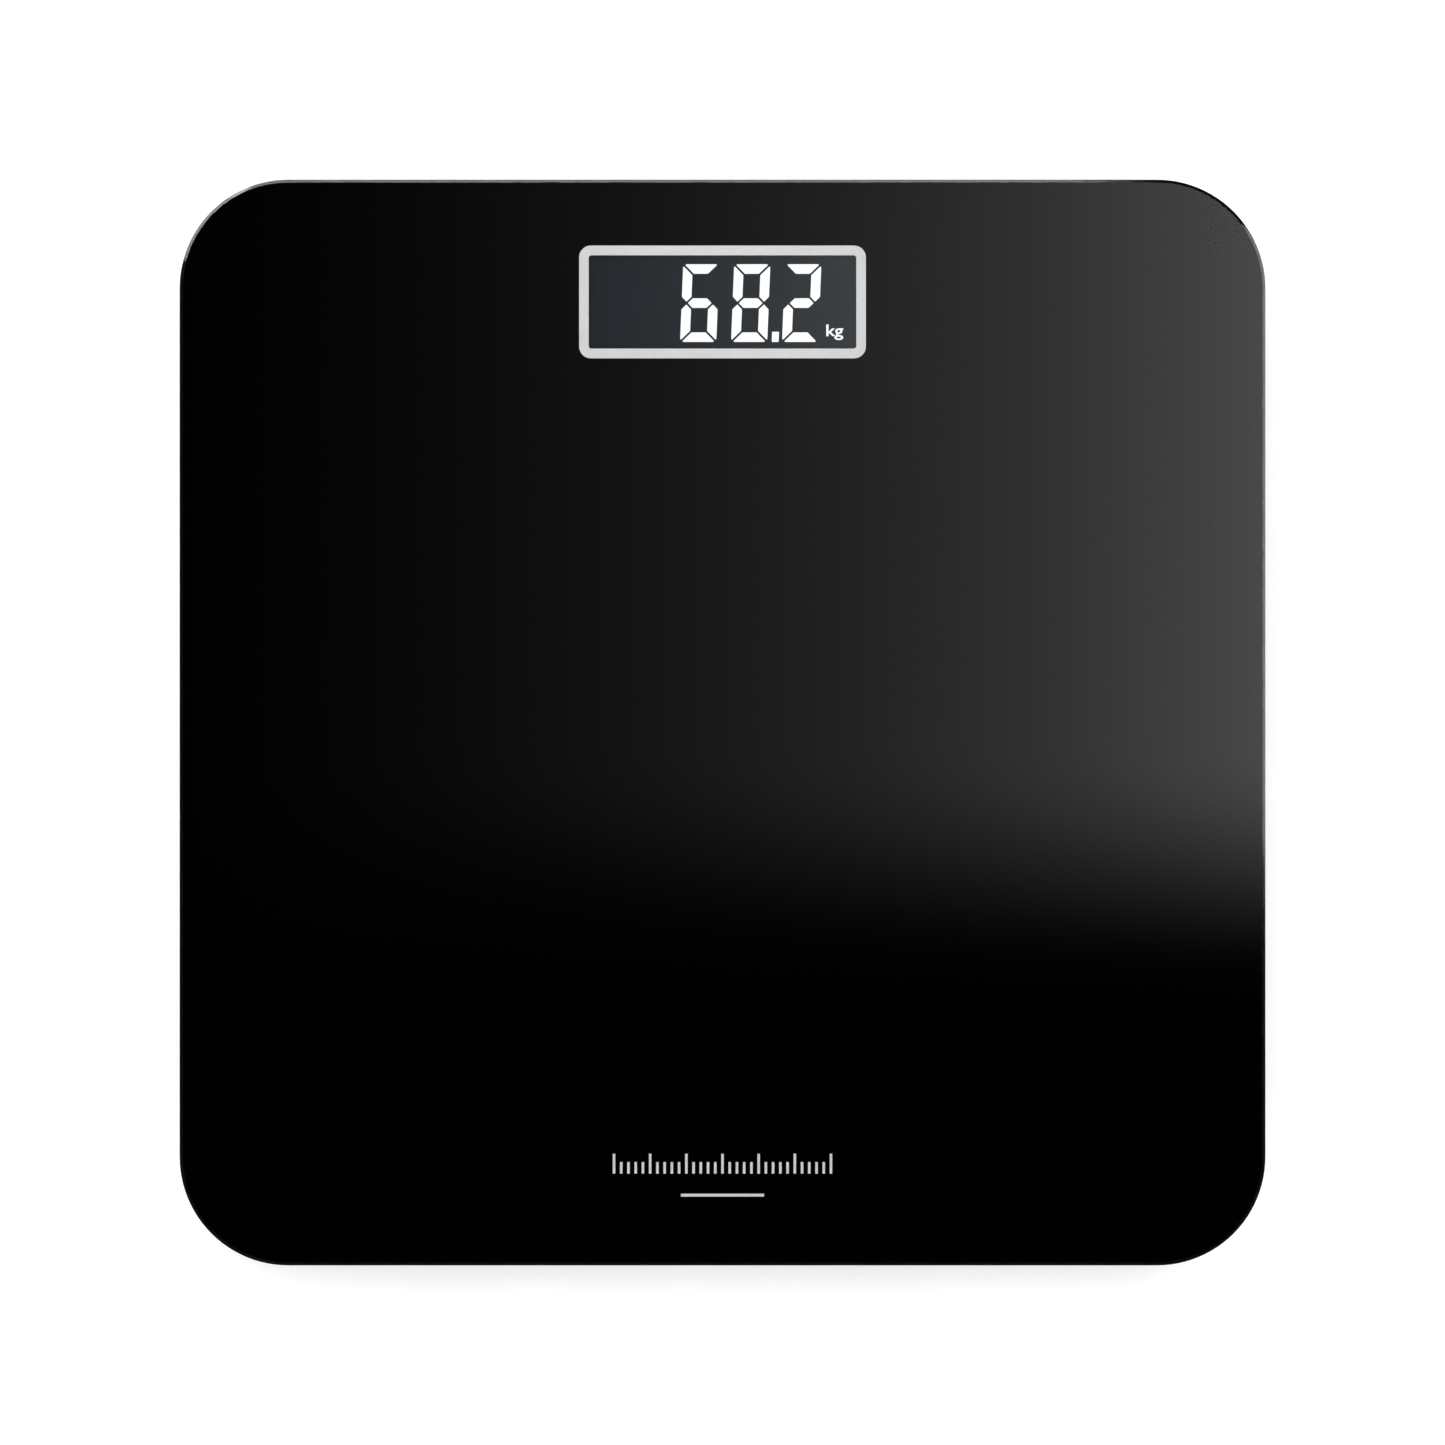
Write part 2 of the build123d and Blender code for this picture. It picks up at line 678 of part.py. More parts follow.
def clock_crystal():
    """Small metal can lying on the board."""
    with BuildPart() as can:
        with Locations(Location((10.0, 66.0, BOARD_TOP + 1.05), (0, 90, 0))):
            Cylinder(1.0, 6.0)
        fillet(can.edges(), radius=0.2)
    return can


def chip_components():
    with BuildPart() as chips:
        with Locations((26.0, 90.0, BOARD_TOP)):
            with GridLocations(4.0, 3.4, 4, 2):
                Box(2.0, 1.25, 0.6, align=UP)
        with Locations((-26.0, 76.0, BOARD_TOP)):
            with GridLocations(4.4, 5.0, 3, 4):
                Box(1.25, 2.0, 0.6, align=UP)
    return chips


def screws_at(centres, seat, upward=True):
    """Board screws seated at one level, with their heads above or below it."""
    screw = pan_screw(1.1, 4.0, 2.1, 1.3)
    turn = 0 if upward else 180
    with BuildPart() as screws:
        with Locations(*[Location((x, y, seat), (turn, 0, 0)) for x, y in centres]):
            add(screw)
    return screws


def switch_body():
    with BuildPart() as body:
        with Locations((*BUTTON, SWITCH_BOTTOM)):
            Box(6.0, 6.0, BOARD_BOTTOM - SWITCH_BOTTOM, align=UP)
            Cylinder(1.9, SWITCH_ROOM, align=UP, mode=Mode.SUBTRACT)
    return body


def switch_plunger():
    with BuildPart() as plunger:
        with Locations((*BUTTON, BUTTON_TOP)):
            Cylinder(1.7, PLUNGER_TOP - BUTTON_TOP, align=UP)
    return plunger


def unit_button():
    """Push button in the tray's underside, held in by a wide flange."""
    with BuildPart() as button:
        with BuildSketch(Plane.XY.offset(BUTTON_FACE)):
            with Locations(BUTTON):
                SlotOverall(*BUTTON_SIZE)
        extrude(amount=BUTTON_FLANGE_Z - BUTTON_FACE)
        fillet(button.faces().sort_by(Axis.Z)[0].edges(), radius=0.5)
        with BuildSketch(Plane.XY.offset(BUTTON_FLANGE_Z)):
            with Locations(BUTTON):
                SlotOverall(BUTTON_SIZE[0] + 3, BUTTON_SIZE[1] + 3)
        extrude(amount=BUTTON_TOP - BUTTON_FLANGE_Z)
    return button


# ---------------------------------------------------------------- coin cell and its door

COIN_BOTTOM = 6.9
COIN_RIM_TOP = 9.7
COIN_TOP = 10.1
CONTACT = 0.2


def coin_cell():
    """Lithium coin cell, 20 mm across and 3.2 mm thick, with its smaller cap upwards."""
    with BuildPart() as coin:
        with Locations((*COIN, COIN_BOTTOM)):
            Cylinder(COIN_RADIUS, COIN_RIM_TOP - COIN_BOTTOM, align=UP)
        fillet(coin.edges(), radius=0.35)
        with Locations((*COIN, COIN_RIM_TOP)):
            Cylinder(8.6, COIN_TOP - COIN_RIM_TOP, align=UP)
    return coin


def negative_contact():
    """Spring plate under the board with a dimple that presses the cell's cap."""
    with BuildPart() as contact:
        with Locations((*COIN, BOARD_BOTTOM)):
            Box(14.0, 6.0, CONTACT, align=DOWN)
        with Locations((*COIN, COIN_TOP)):
            Cone(1.0, 2.2, BOARD_BOTTOM - CONTACT - COIN_TOP, align=UP)
    return contact


def positive_contact():
    """Bent spring strip that presses the cell's rim."""
    rim = COIN[0] + COIN_RADIUS + 0.05
    with BuildPart() as contact:
        with Locations((rim, COIN[1], 7.4)):
            Box(0.3, 6.0, BOARD_BOTTOM - 7.4, align=(Align.MIN, Align.CENTER, Align.MIN))
        with Locations((rim, COIN[1], BOARD_BOTTOM)):
            Box(4.0, 6.0, 0.3, align=(Align.MIN, Align.CENTER, Align.MAX))
    return contact


def battery_door():
    """Door with a round hinge end on two pins, and a sprung latch folded up at its front end."""
    left = COIN[0] - DOOR_WIDTH / 2
    latch_left = COIN[0] - LATCH_WIDTH / 2
    with BuildPart() as door:
        with BuildSketch(Plane.YZ.offset(left)):
            with Locations((DOOR_FRONT, TRAY_BOTTOM)):
                Rectangle(HINGE_Y - DOOR_FRONT, DOOR_PLATE, align=(Align.MIN, Align.MIN))
            with Locations((HINGE_Y, HINGE_Z)):
                Circle(DOOR_PLATE)
        extrude(amount=DOOR_WIDTH)
        with Locations(Location((COIN[0], HINGE_Y, HINGE_Z), (0, 90, 0))):
            Cylinder(PIN_RADIUS, DOOR_WIDTH + 2 * PIN_REACH)
        with BuildSketch(Plane.YZ.offset(latch_left)):
            with BuildLine():
                Polyline(
                    (DOOR_FRONT + 0.2, TRAY_BOTTOM),
                    (DOOR_FRONT + 0.2, LATCH_TOP - 0.6),
                    (DOOR_FRONT - 0.4, LATCH_TOP),
                    (LATCH_FRONT + 0.6, LATCH_TOP),
                    (LATCH_FRONT, LATCH_TOP - 0.6),
                    (LATCH_FRONT, 8.0),
                    (LATCH_FRONT - NOSE_REACH, 7.2),
                    (LATCH_FRONT - NOSE_REACH, 6.7),
                    (LATCH_FRONT, 6.5),
                    (LATCH_FRONT, 5.9),
                    (TAB_FRONT, 5.9),
                    (TAB_FRONT, TRAY_BOTTOM),
                    (LATCH_FRONT + 0.9, TRAY_BOTTOM),
                    (LATCH_FRONT + 0.9, LATCH_TOP - 0.9),
                    (DOOR_FRONT - 0.7, LATCH_TOP - 0.9),
                    (DOOR_FRONT - 0.7, TRAY_BOTTOM),
                    close=True,
                )
            make_face()
        extrude(amount=LATCH_WIDTH)
        with Locations((COIN[0], COIN[1], HINGE_Z)):
            with GridLocations(8.0, 1.0, 2, 1):
                Box(1.2, 14.0, 0.25, align=UP)
        with Locations((COIN[0], DOOR_FRONT + 5.0, TRAY_BOTTOM)):
            with GridLocations(1.0, 1.6, 1, 4):
                Box(10.0, 0.8, 0.4, align=UP, mode=Mode.SUBTRACT)
    return door


# ---------------------------------------------------------------- wires

WIRE_Z = CELL_TOP + WIRE_RADIUS + 0.05
LANDING_Z = BOARD_TOP + WIRE_RADIUS + 0.05
WIRE_START = FOOT_OFFSET - 10.0
RUN_X = 56.0
DROP_START = 50.5
DROP_END = 46.5
WIRE_END = 41.5
FRONT_LANDING_Y = 68.0
REAR_LANDING_Y = 84.0


def wire_route(corner, lane):
    """Points and corner radii of one wire, which lies lane millimetres left of its bundle's middle."""
    side, end = CORNERS[corner]
    cell_y = end * FOOT_OFFSET + lane
    landing_y = (FRONT_LANDING_Y if end < 0 else REAR_LANDING_Y) + lane
    run_x = RUN_X + end * -lane
    points = [
        (WIRE_START, cell_y, WIRE_Z),
        (run_x, cell_y, WIRE_Z),
        (run_x, landing_y, WIRE_Z),
        (DROP_START, landing_y, WIRE_Z),
        (DROP_END, landing_y, LANDING_Z),
        (WIRE_END, landing_y, LANDING_Z),
    ]
    first_bend = 5.0 + end * lane
    second_bend = 3.4 - end * lane
    return [(side * x, y, z) for x, y, z in points], [first_bend, second_bend, 2.0, 2.0]


def wires(lane):
    """The four wires of one colour, from the load cells to the board."""
    with BuildPart() as bundle:
        for corner in CORNERS:
            points, radii = wire_route(corner, lane)
            with BuildLine() as route:
                FilletPolyline(*points, radius=radii)
            with BuildSketch(Plane(origin=route.line @ 0, z_dir=route.line % 0)):
                Circle(WIRE_RADIUS)
            sweep(path=route.line)
    return bundle


def solder_joints():
    """Solder at the ends of the twelve wires."""
    reach = WIRE_END - 0.62
    rows = [y + lane for y in (FRONT_LANDING_Y, REAR_LANDING_Y) for lane in LANES]
    with BuildPart() as joints:
        with Locations(*[(side * reach, y, BOARD_TOP) for side in (-1, 1) for y in rows]):
            Cone(0.6, 0.3, 1.1, align=UP)
    return joints


LANES = (-WIRE_PITCH, 0.0, WIRE_PITCH)

# ---------------------------------------------------------------- write the parts

os.makedirs("parts", exist_ok=True)

write(glass_platform(), "glass_platform")
write(backing_film(), "backing_film")
write(window_frame(), "window_frame")
write(graduation_mark(), "graduation_mark")
write(perimeter_tape(), "perimeter_tape")
write(base_tray(), "base_tray")
write(rating_label(), "rating_label")

for place in CORNERS:
    write(load_cell(place), f"load_cell_{place}")
    write(cell_bracket(place), f"cell_bracket_{place}")
    write(foot(place), f"foot_{place}")
    write(foot_pad(place), f"foot_pad_{place}")
write(strain_gauges(), "strain_gauges")
write(bracket_pads(), "bracket_pads")
write(bracket_screws(), "bracket_screws")

write(window_gasket(), "window_gasket")
write(display_housing(), "display_housing")
write(plate(FRONT_GLASS_TOP, POLARISER, (77.0, 29.0), WINDOW_Y), "front_polariser")
write(plate(FRONT_GLASS_BOTTOM, PANEL_GLASS, PANEL, WINDOW_Y), "lcd_front_glass")
write(plate(REAR_GLASS_BOTTOM, PANEL_GLASS, (PANEL[0], REAR_DEPTH), REAR_Y), "lcd_rear_glass")
write(plate(GUIDE_TOP, POLARISER, (77.0, 29.0), REAR_Y), "rear_polariser")
write(plate(GUIDE_BOTTOM, GUIDE_TOP - GUIDE_BOTTOM, GUIDE, REAR_Y), "light_guide")
write(plate(BOARD_TOP, GUIDE_BOTTOM - BOARD_TOP, GUIDE, REAR_Y), "backlight_reflector")
write(backlight_leds(), "backlight_leds")
write(elastomer_connector(), "elastomer_connector")

write(main_board(), "main_board")
write(controller_cap(), "controller_cap")
write(clock_crystal(), "clock_crystal")
write(chip_components(), "chip_components")
write(solder_joints(), "solder_joints")
write(screws_at(BOARD_BOSSES, BOARD_TOP), "board_screws")
write(screws_at(HOUSING_SCREWS, BOARD_BOTTOM, upward=False), "housing_screws")
write(switch_body(), "switch_body")
write(switch_plunger(), "switch_plunger")
write(unit_button(), "unit_button")
write(coin_cell(), "coin_cell")
write(negative_contact(), "negative_contact")
write(positive_contact(), "positive_contact")
write(battery_door(), "battery_door")

for colour, lane in zip(("red", "white", "black"), LANES):
    write(wires(lane), f"wires_{colour}")
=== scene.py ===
from math import cos, pi, radians, sin, tan

import bmesh
import bpy
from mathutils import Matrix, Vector


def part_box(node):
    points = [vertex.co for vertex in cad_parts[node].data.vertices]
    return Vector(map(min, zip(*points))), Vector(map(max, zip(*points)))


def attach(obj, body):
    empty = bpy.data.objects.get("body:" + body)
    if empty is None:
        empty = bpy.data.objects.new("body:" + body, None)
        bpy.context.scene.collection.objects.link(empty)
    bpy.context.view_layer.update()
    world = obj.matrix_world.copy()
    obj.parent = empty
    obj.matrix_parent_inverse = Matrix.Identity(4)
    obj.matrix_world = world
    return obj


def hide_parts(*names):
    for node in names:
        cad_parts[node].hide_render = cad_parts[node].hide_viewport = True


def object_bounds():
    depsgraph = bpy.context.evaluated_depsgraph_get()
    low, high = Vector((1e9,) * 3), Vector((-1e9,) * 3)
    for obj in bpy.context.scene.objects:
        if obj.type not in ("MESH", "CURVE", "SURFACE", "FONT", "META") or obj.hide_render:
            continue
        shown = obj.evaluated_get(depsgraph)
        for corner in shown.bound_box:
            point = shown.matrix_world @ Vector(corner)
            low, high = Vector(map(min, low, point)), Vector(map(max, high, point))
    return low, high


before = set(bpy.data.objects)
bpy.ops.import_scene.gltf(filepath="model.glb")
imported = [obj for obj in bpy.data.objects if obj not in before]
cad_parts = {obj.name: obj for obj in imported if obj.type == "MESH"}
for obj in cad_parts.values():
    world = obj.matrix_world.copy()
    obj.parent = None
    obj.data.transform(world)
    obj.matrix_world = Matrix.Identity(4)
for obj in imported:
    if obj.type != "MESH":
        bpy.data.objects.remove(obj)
cad_box = [list(corner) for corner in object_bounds()]


# ---------------------------------------------------------------- base tray
# The tray under the glass is injection-moulded black ABS. Its steel mould is spark-eroded, which
# leaves a fine even grain, and handling polishes the high spots of that grain a little.

NOISE_MIDDLE = (0.35, 0.65)
PATCHES_PER_METRE = 22.0
COARSE_GRAIN_SCALE = 0.31
COARSE_GRAIN_SHARE = 0.6
PATCH_SHINE_SHARE = 0.7


def shader_group(name, inputs, outputs):
    """A new shader group with float inputs {name: default}, float outputs and its two end nodes."""
    tree = bpy.data.node_groups.new(name, "ShaderNodeTree")
    for label, value in inputs.items():
        socket = tree.interface.new_socket(label, in_out="INPUT", socket_type="NodeSocketFloat")
        socket.default_value = value
    for label in outputs:
        tree.interface.new_socket(label, in_out="OUTPUT", socket_type="NodeSocketFloat")
    return tree, tree.nodes.new("NodeGroupInput"), tree.nodes.new("NodeGroupOutput")


def maths(tree, operation, first, second=0.0):
    """A Math node on two sockets or numbers."""
    node = tree.nodes.new("ShaderNodeMath")
    node.operation = operation
    for socket, value in zip(node.inputs, (first, second)):
        if isinstance(value, (int, float)):
            socket.default_value = value
        else:
            tree.links.new(value, socket)
    return node.outputs[0]


def noise(tree, scale, detail=2.0, stretch=(1, 1, 1)):
    """Noise on Object coordinates. scale is a number or a socket, in waves per metre."""
    place = tree.nodes.new("ShaderNodeTexCoord")
    mapping = tree.nodes.new("ShaderNodeMapping")
    mapping.inputs["Scale"].default_value = stretch
    texture = tree.nodes.new("ShaderNodeTexNoise")
    texture.inputs["Detail"].default_value = detail
    tree.links.new(place.outputs["Object"], mapping.inputs["Vector"])
    tree.links.new(mapping.outputs["Vector"], texture.inputs["Vector"])
    if isinstance(scale, (int, float)):
        texture.inputs["Scale"].default_value = scale
    else:
        tree.links.new(scale, texture.inputs["Scale"])
    return texture.outputs["Fac"]


def spread(tree, source, low, high):
    """Stretches the middle of a noise's range to run from low to high."""
    node = tree.nodes.new("ShaderNodeMapRange")
    node.inputs["From Min"].default_value, node.inputs["From Max"].default_value = NOISE_MIDDLE
    for label, value in (("To Min", low), ("To Max", high)):
        if isinstance(value, (int, float)):
            node.inputs[label].default_value = value
        else:
            tree.links.new(value, node.inputs[label])
    tree.links.new(source, node.inputs["Value"])
    return node.outputs["Result"]


def shared(tree, first, second, share):
    """Adds a share of one value to the rest of another."""
    part = maths(tree, "MULTIPLY", first, share)
    return maths(tree, "ADD", part, maths(tree, "MULTIPLY", second, 1.0 - share))


def make_mould_grain():
    """Fine pitted grain of a spark-eroded mould, with large faint patches where hands polish it."""
    tree, given, result = shader_group(
        "mould_grain",
        {"Grains per metre": 2600.0, "Roughness low": 0.42, "Roughness high": 0.6},
        ("Height", "Roughness", "Patches"),
    )
    grains = given.outputs["Grains per metre"]
    fine = noise(tree, grains, 3.0)
    coarse = noise(tree, maths(tree, "MULTIPLY", grains, COARSE_GRAIN_SCALE), 2.0)
    patches = spread(tree, noise(tree, PATCHES_PER_METRE, 4.0), 0.0, 1.0)
    height = maths(tree, "ADD", fine, maths(tree, "MULTIPLY", coarse, COARSE_GRAIN_SHARE))
    shine = shared(tree, patches, fine, PATCH_SHINE_SHARE)
    rough = spread(tree, shine, given.outputs["Roughness low"], given.outputs["Roughness high"])
    tree.links.new(height, result.inputs["Height"])
    tree.links.new(rough, result.inputs["Roughness"])
    tree.links.new(patches, result.inputs["Patches"])
    return tree


mould_grain = make_mould_grain()


def new_material(name, **plain):
    """A node material and its Principled shader, with plain values set by socket name."""
    made = bpy.data.materials.new(name)
    made.use_nodes = True
    shader = made.node_tree.nodes["Principled BSDF"]
    for label, value in plain.items():
        shader.inputs[label.replace("_", " ")].default_value = value
    return made, shader


def add_group(made, tree, **values):
    """Places a shader group in a material with its own values."""
    node = made.node_tree.nodes.new("ShaderNodeGroup")
    node.node_tree = tree
    for label, value in values.items():
        node.inputs[label.replace("_", " ")].default_value = value
    return node


def two_colours(made, shader, mask, first, second, target="Base Color"):
    """Feeds a colour input with a mix of two colours by a mask."""
    tree = made.node_tree
    mix = tree.nodes.new("ShaderNodeMix")
    mix.data_type = "RGBA"
    mix.inputs[6].default_value = (*first, 1.0)
    mix.inputs[7].default_value = (*second, 1.0)
    tree.links.new(mask, mix.inputs[0])
    tree.links.new(mix.outputs[2], shader.inputs[target])


def add_bump(made, shader, height, depth):
    """Turns a height from 0 to about 1 into a bump of that depth in metres."""
    tree = made.node_tree
    bump = tree.nodes.new("ShaderNodeBump")
    bump.inputs["Strength"].default_value = 1.0
    bump.inputs["Distance"].default_value = depth
    tree.links.new(height, bump.inputs["Height"])
    tree.links.new(bump.outputs["Normal"], shader.inputs["Normal"])


def moulded(name, first, second, low=0.42, high=0.6, grains=2600.0, depth=0.00006):
    """A moulded plastic or rubber with the mould's grain."""
    made, shader = new_material(name)
    grain = add_group(
        made, mould_grain, Grains_per_metre=grains, Roughness_low=low, Roughness_high=high
    )
    two_colours(made, shader, grain.outputs["Patches"], first, second)
    made.node_tree.links.new(grain.outputs["Roughness"], shader.inputs["Roughness"])
    add_bump(made, shader, grain.outputs["Height"], depth)
    return made


def give(made, *names):
    """Gives CAD nodes a material."""
    for name in names:
        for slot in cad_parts[name].material_slots:
            slot.material = made


black_abs = moulded(
    "black_abs", (0.012, 0.012, 0.013), (0.016, 0.016, 0.017), 0.40, 0.54, 2200.0, 0.00014
)
give(black_abs, "base_tray")


# ---------------------------------------------------------------- feet
# Each foot is a black ABS cup that slides in the tray's round well. Its wide flange keeps it in,
# and the boss in its middle bears on the load cell's tongue.

corners = ("front_left", "front_right", "rear_left", "rear_right")
foot_abs = moulded(
    "foot_abs", (0.012, 0.012, 0.013), (0.021, 0.021, 0.022), 0.30, 0.48, 3000.0, 0.00008
)
give(foot_abs, *[f"foot_{corner}" for corner in corners])


# ---------------------------------------------------------------- foot pads
# A moulded rubber disc is pressed into each foot. Rings of small round studs stand out of its face
# and grip a wet floor, and a raised lip runs round its edge.

PAD_SIDES = 96
PAD_STUD = 0.0009
PAD_STUD_SIDES = 12
PAD_STUD_TIP = 0.72
PAD_STUD_DEPTH = 0.0006
PAD_STUD_ROOT = 1.2
PAD_STUD_PITCH = 0.0027
PAD_RINGS = 6
PAD_LIP = 0.0014


def geometry_tree(name, inputs):
    """A new Geometry Nodes tree with inputs {name: default}, and its two end nodes."""
    tree = bpy.data.node_groups.new(name, "GeometryNodeTree")
    kinds = {tuple: "NodeSocketVector", int: "NodeSocketInt", float: "NodeSocketFloat"}
    for label, value in inputs.items():
        socket = tree.interface.new_socket(label, in_out="INPUT", socket_type=kinds[type(value)])
        socket.default_value = value
    tree.interface.new_socket("Geometry", in_out="OUTPUT", socket_type="NodeSocketGeometry")
    return tree, tree.nodes.new("NodeGroupInput"), tree.nodes.new("NodeGroupOutput")


def node_of(tree, kind, **wired):
    """A Geometry node with its inputs set or linked by name."""
    node = tree.nodes.new(kind)
    for label, value in wired.items():
        socket = node.inputs[label.replace("_", " ")]
        if isinstance(value, bpy.types.NodeSocket):
            tree.links.new(value, socket)
        else:
            socket.default_value = value
    return node


def end_tree(tree, result, geometry, made):
    """Makes instances real, gives them a material and ends the tree."""
    real = node_of(tree, "GeometryNodeRealizeInstances", Geometry=geometry)
    painted = node_of(tree, "GeometryNodeSetMaterial", Geometry=real.outputs[0], Material=made)
    tree.links.new(painted.outputs[0], result.inputs["Geometry"])


def grow(name, tree, values):
    """Runs a Geometry Nodes tree with these values and keeps the result as a plain mesh object."""
    seed = bpy.data.objects.new(f"{name}.seed", bpy.data.meshes.new(f"{name}.seed"))
    bpy.context.collection.objects.link(seed)
    modifier = seed.modifiers.new("grow", "NODES")
    modifier.node_group = tree
    for item in tree.interface.items_tree:
        if item.in_out == "INPUT" and item.name in values:
            modifier[item.identifier] = values[item.name]
    seen = bpy.context.evaluated_depsgraph_get()
    mesh = bpy.data.meshes.new_from_object(seed.evaluated_get(seen), depsgraph=seen)
    mesh.name = name
    bpy.data.objects.remove(seed)
    piece = bpy.data.objects.new(name, mesh)
    bpy.context.collection.objects.link(piece)
    return piece


def pad_tree(made):
    """A disc with rings of studs and a lip under it."""
    tree, given, result = geometry_tree(
        "pad_with_studs", {"Middle": (0.0, 0.0, 0.0), "Radius": 0.018, "Thickness": 0.0026}
    )
    radius, thick = given.outputs["Radius"], given.outputs["Thickness"]

    def moved(geometry, place):
        return node_of(
            tree, "GeometryNodeTransform", Geometry=geometry, Translation=place
        ).outputs[0]

    def at_height(geometry, height):
        return moved(geometry, node_of(tree, "ShaderNodeCombineXYZ", Z=height).outputs[0])

    body_height = maths(tree, "SUBTRACT", thick, PAD_STUD_DEPTH)
    disc = node_of(
        tree, "GeometryNodeMeshCylinder", Vertices=PAD_SIDES, Radius=radius, Depth=body_height
    )
    disc.fill_type = "NGON"
    half_way = maths(tree, "ADD", maths(tree, "MULTIPLY", body_height, 0.5), PAD_STUD_DEPTH)
    stud = node_of(
        tree, "GeometryNodeMeshCone", Vertices=PAD_STUD_SIDES, Radius_Top=PAD_STUD,
        Radius_Bottom=PAD_STUD * PAD_STUD_TIP, Depth=PAD_STUD_DEPTH * PAD_STUD_ROOT,
    )
    parts = [at_height(disc.outputs[0], half_way)]
    for ring in range(PAD_RINGS):
        if ring:
            places = node_of(
                tree, "GeometryNodeMeshCircle", Vertices=6 * ring, Radius=PAD_STUD_PITCH * ring
            )
        else:
            places = node_of(tree, "GeometryNodeMeshLine", Count=1)
        studs = node_of(
            tree, "GeometryNodeInstanceOnPoints", Points=places.outputs[0], Instance=stud.outputs[0]
        )
        parts.append(studs.outputs[0])
    path = node_of(
        tree, "GeometryNodeCurvePrimitiveCircle", Resolution=PAD_SIDES,
        Radius=maths(tree, "SUBTRACT", radius, PAD_LIP),
    )
    profile = node_of(
        tree, "GeometryNodeCurvePrimitiveCircle", Resolution=PAD_STUD_SIDES, Radius=PAD_STUD_DEPTH
    )
    lip = node_of(
        tree, "GeometryNodeCurveToMesh", Curve=path.outputs[0], Profile_Curve=profile.outputs[0]
    )
    parts.append(at_height(lip.outputs[0], PAD_STUD_DEPTH))
    join = tree.nodes.new("GeometryNodeJoinGeometry")
    for part in parts:
        tree.links.new(part, join.inputs[0])
    end_tree(tree, result, moved(join.outputs[0], given.outputs["Middle"]), made)
    return tree


foot_rubber = moulded(
    "foot_rubber", (0.055, 0.056, 0.059), (0.090, 0.091, 0.093), 0.66, 0.84, 1700.0, 0.00010
)
padded_disc = pad_tree(foot_rubber)
for corner in corners:
    low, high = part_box(f"foot_pad_{corner}")
    middle = (low + high) / 2
    pad = grow(
        f"studded_pad_{corner}",
        padded_disc,
        {"Middle": (middle.x, middle.y, 0.0), "Radius": (high.x - low.x) / 2, "Thickness": high.z},
    )
    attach(pad, f"{corner}_foot")
    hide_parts(f"foot_pad_{corner}")


# ---------------------------------------------------------------- load cells
# Each load cell is stamped from sheet steel and zinc plated. A U-shaped slot frees its tongue, and
# rolling leaves faint lines along the sheet.

LINE_STRETCH = (0.03, 1.0, 1.0)
TARNISH_PER_METRE = 90.0
LINE_SHINE_SHARE = 0.6


def make_rolled_lines():
    """Fine parallel lines from rolling or brushing, and a slow tarnish under them."""
    tree, given, result = shader_group(
        "rolled_lines",
        {"Lines per metre": 9000.0, "Roughness low": 0.22, "Roughness high": 0.4},
        ("Height", "Roughness", "Tarnish"),
    )
    lines = noise(tree, given.outputs["Lines per metre"], 2.0, LINE_STRETCH)
    tarnish = spread(tree, noise(tree, TARNISH_PER_METRE, 4.0), 0.0, 1.0)
    both = shared(tree, lines, tarnish, LINE_SHINE_SHARE)
    rough = spread(tree, both, given.outputs["Roughness low"], given.outputs["Roughness high"])
    tree.links.new(lines, result.inputs["Height"])
    tree.links.new(rough, result.inputs["Roughness"])
    tree.links.new(tarnish, result.inputs["Tarnish"])
    return tree


rolled_lines = make_rolled_lines()


def metal(name, first, second, low=0.22, high=0.4, lines=9000.0, depth=0.00001):
    """A bare or plated metal with its rolling lines."""
    made, shader = new_material(name, Metallic=1.0)
    marks = add_group(
        made, rolled_lines, Lines_per_metre=lines, Roughness_low=low, Roughness_high=high
    )
    two_colours(made, shader, marks.outputs["Tarnish"], first, second)
    made.node_tree.links.new(marks.outputs["Roughness"], shader.inputs["Roughness"])
    add_bump(made, shader, marks.outputs["Height"], depth)
    return made


cell_plate_steel = metal("cell_plate_steel", (0.56, 0.57, 0.58), (0.66, 0.65, 0.62))
give(cell_plate_steel, *[f"load_cell_{corner}" for corner in corners])


# ---------------------------------------------------------------- strain gauges
# Foil gauges are glued on each tongue. A dome of soft white silicone is poured over them and keeps
# damp off.

white_sealant = moulded(
    "white_sealant", (0.74, 0.74, 0.70), (0.84, 0.84, 0.81), 0.35, 0.55, 420.0, 0.00025
)
give(white_sealant, "strain_gauges")


# ---------------------------------------------------------------- load-cell brackets
# A white ABS block sits on each load cell and carries the platform on the cell's outer ring. Two
# self-tapping screws hold its ears to the tray, and a foam pad sticks its top to the film.

white_abs = moulded("white_abs", (0.66, 0.66, 0.63), (0.72, 0.72, 0.70), 0.38, 0.55)
zinc_steel = metal("zinc_steel", (0.60, 0.62, 0.66), (0.72, 0.70, 0.62), 0.2, 0.36, 5200.0)
foam_tape = moulded(
    "foam_tape", (0.012, 0.012, 0.012), (0.030, 0.030, 0.031), 0.8, 0.95, 1500.0, 0.0002
)
give(white_abs, *[f"cell_bracket_{corner}" for corner in corners])
give(zinc_steel, "bracket_screws")
give(foam_tape, "bracket_pads")


# ---------------------------------------------------------------- wires
# Three thin stranded wires run from each load cell over the ribs to the board. Their soft PVC
# insulation is red, white and black.

for colour, first, second in (
    ("red", (0.36, 0.010, 0.008), (0.48, 0.020, 0.015)),
    ("white", (0.66, 0.66, 0.62), (0.76, 0.76, 0.73)),
    ("black", (0.010, 0.010, 0.010), (0.020, 0.020, 0.020)),
):
    insulation = moulded(f"{colour}_insulation", first, second, 0.3, 0.45, 1200.0, 0.00002)
    give(insulation, f"wires_{colour}")


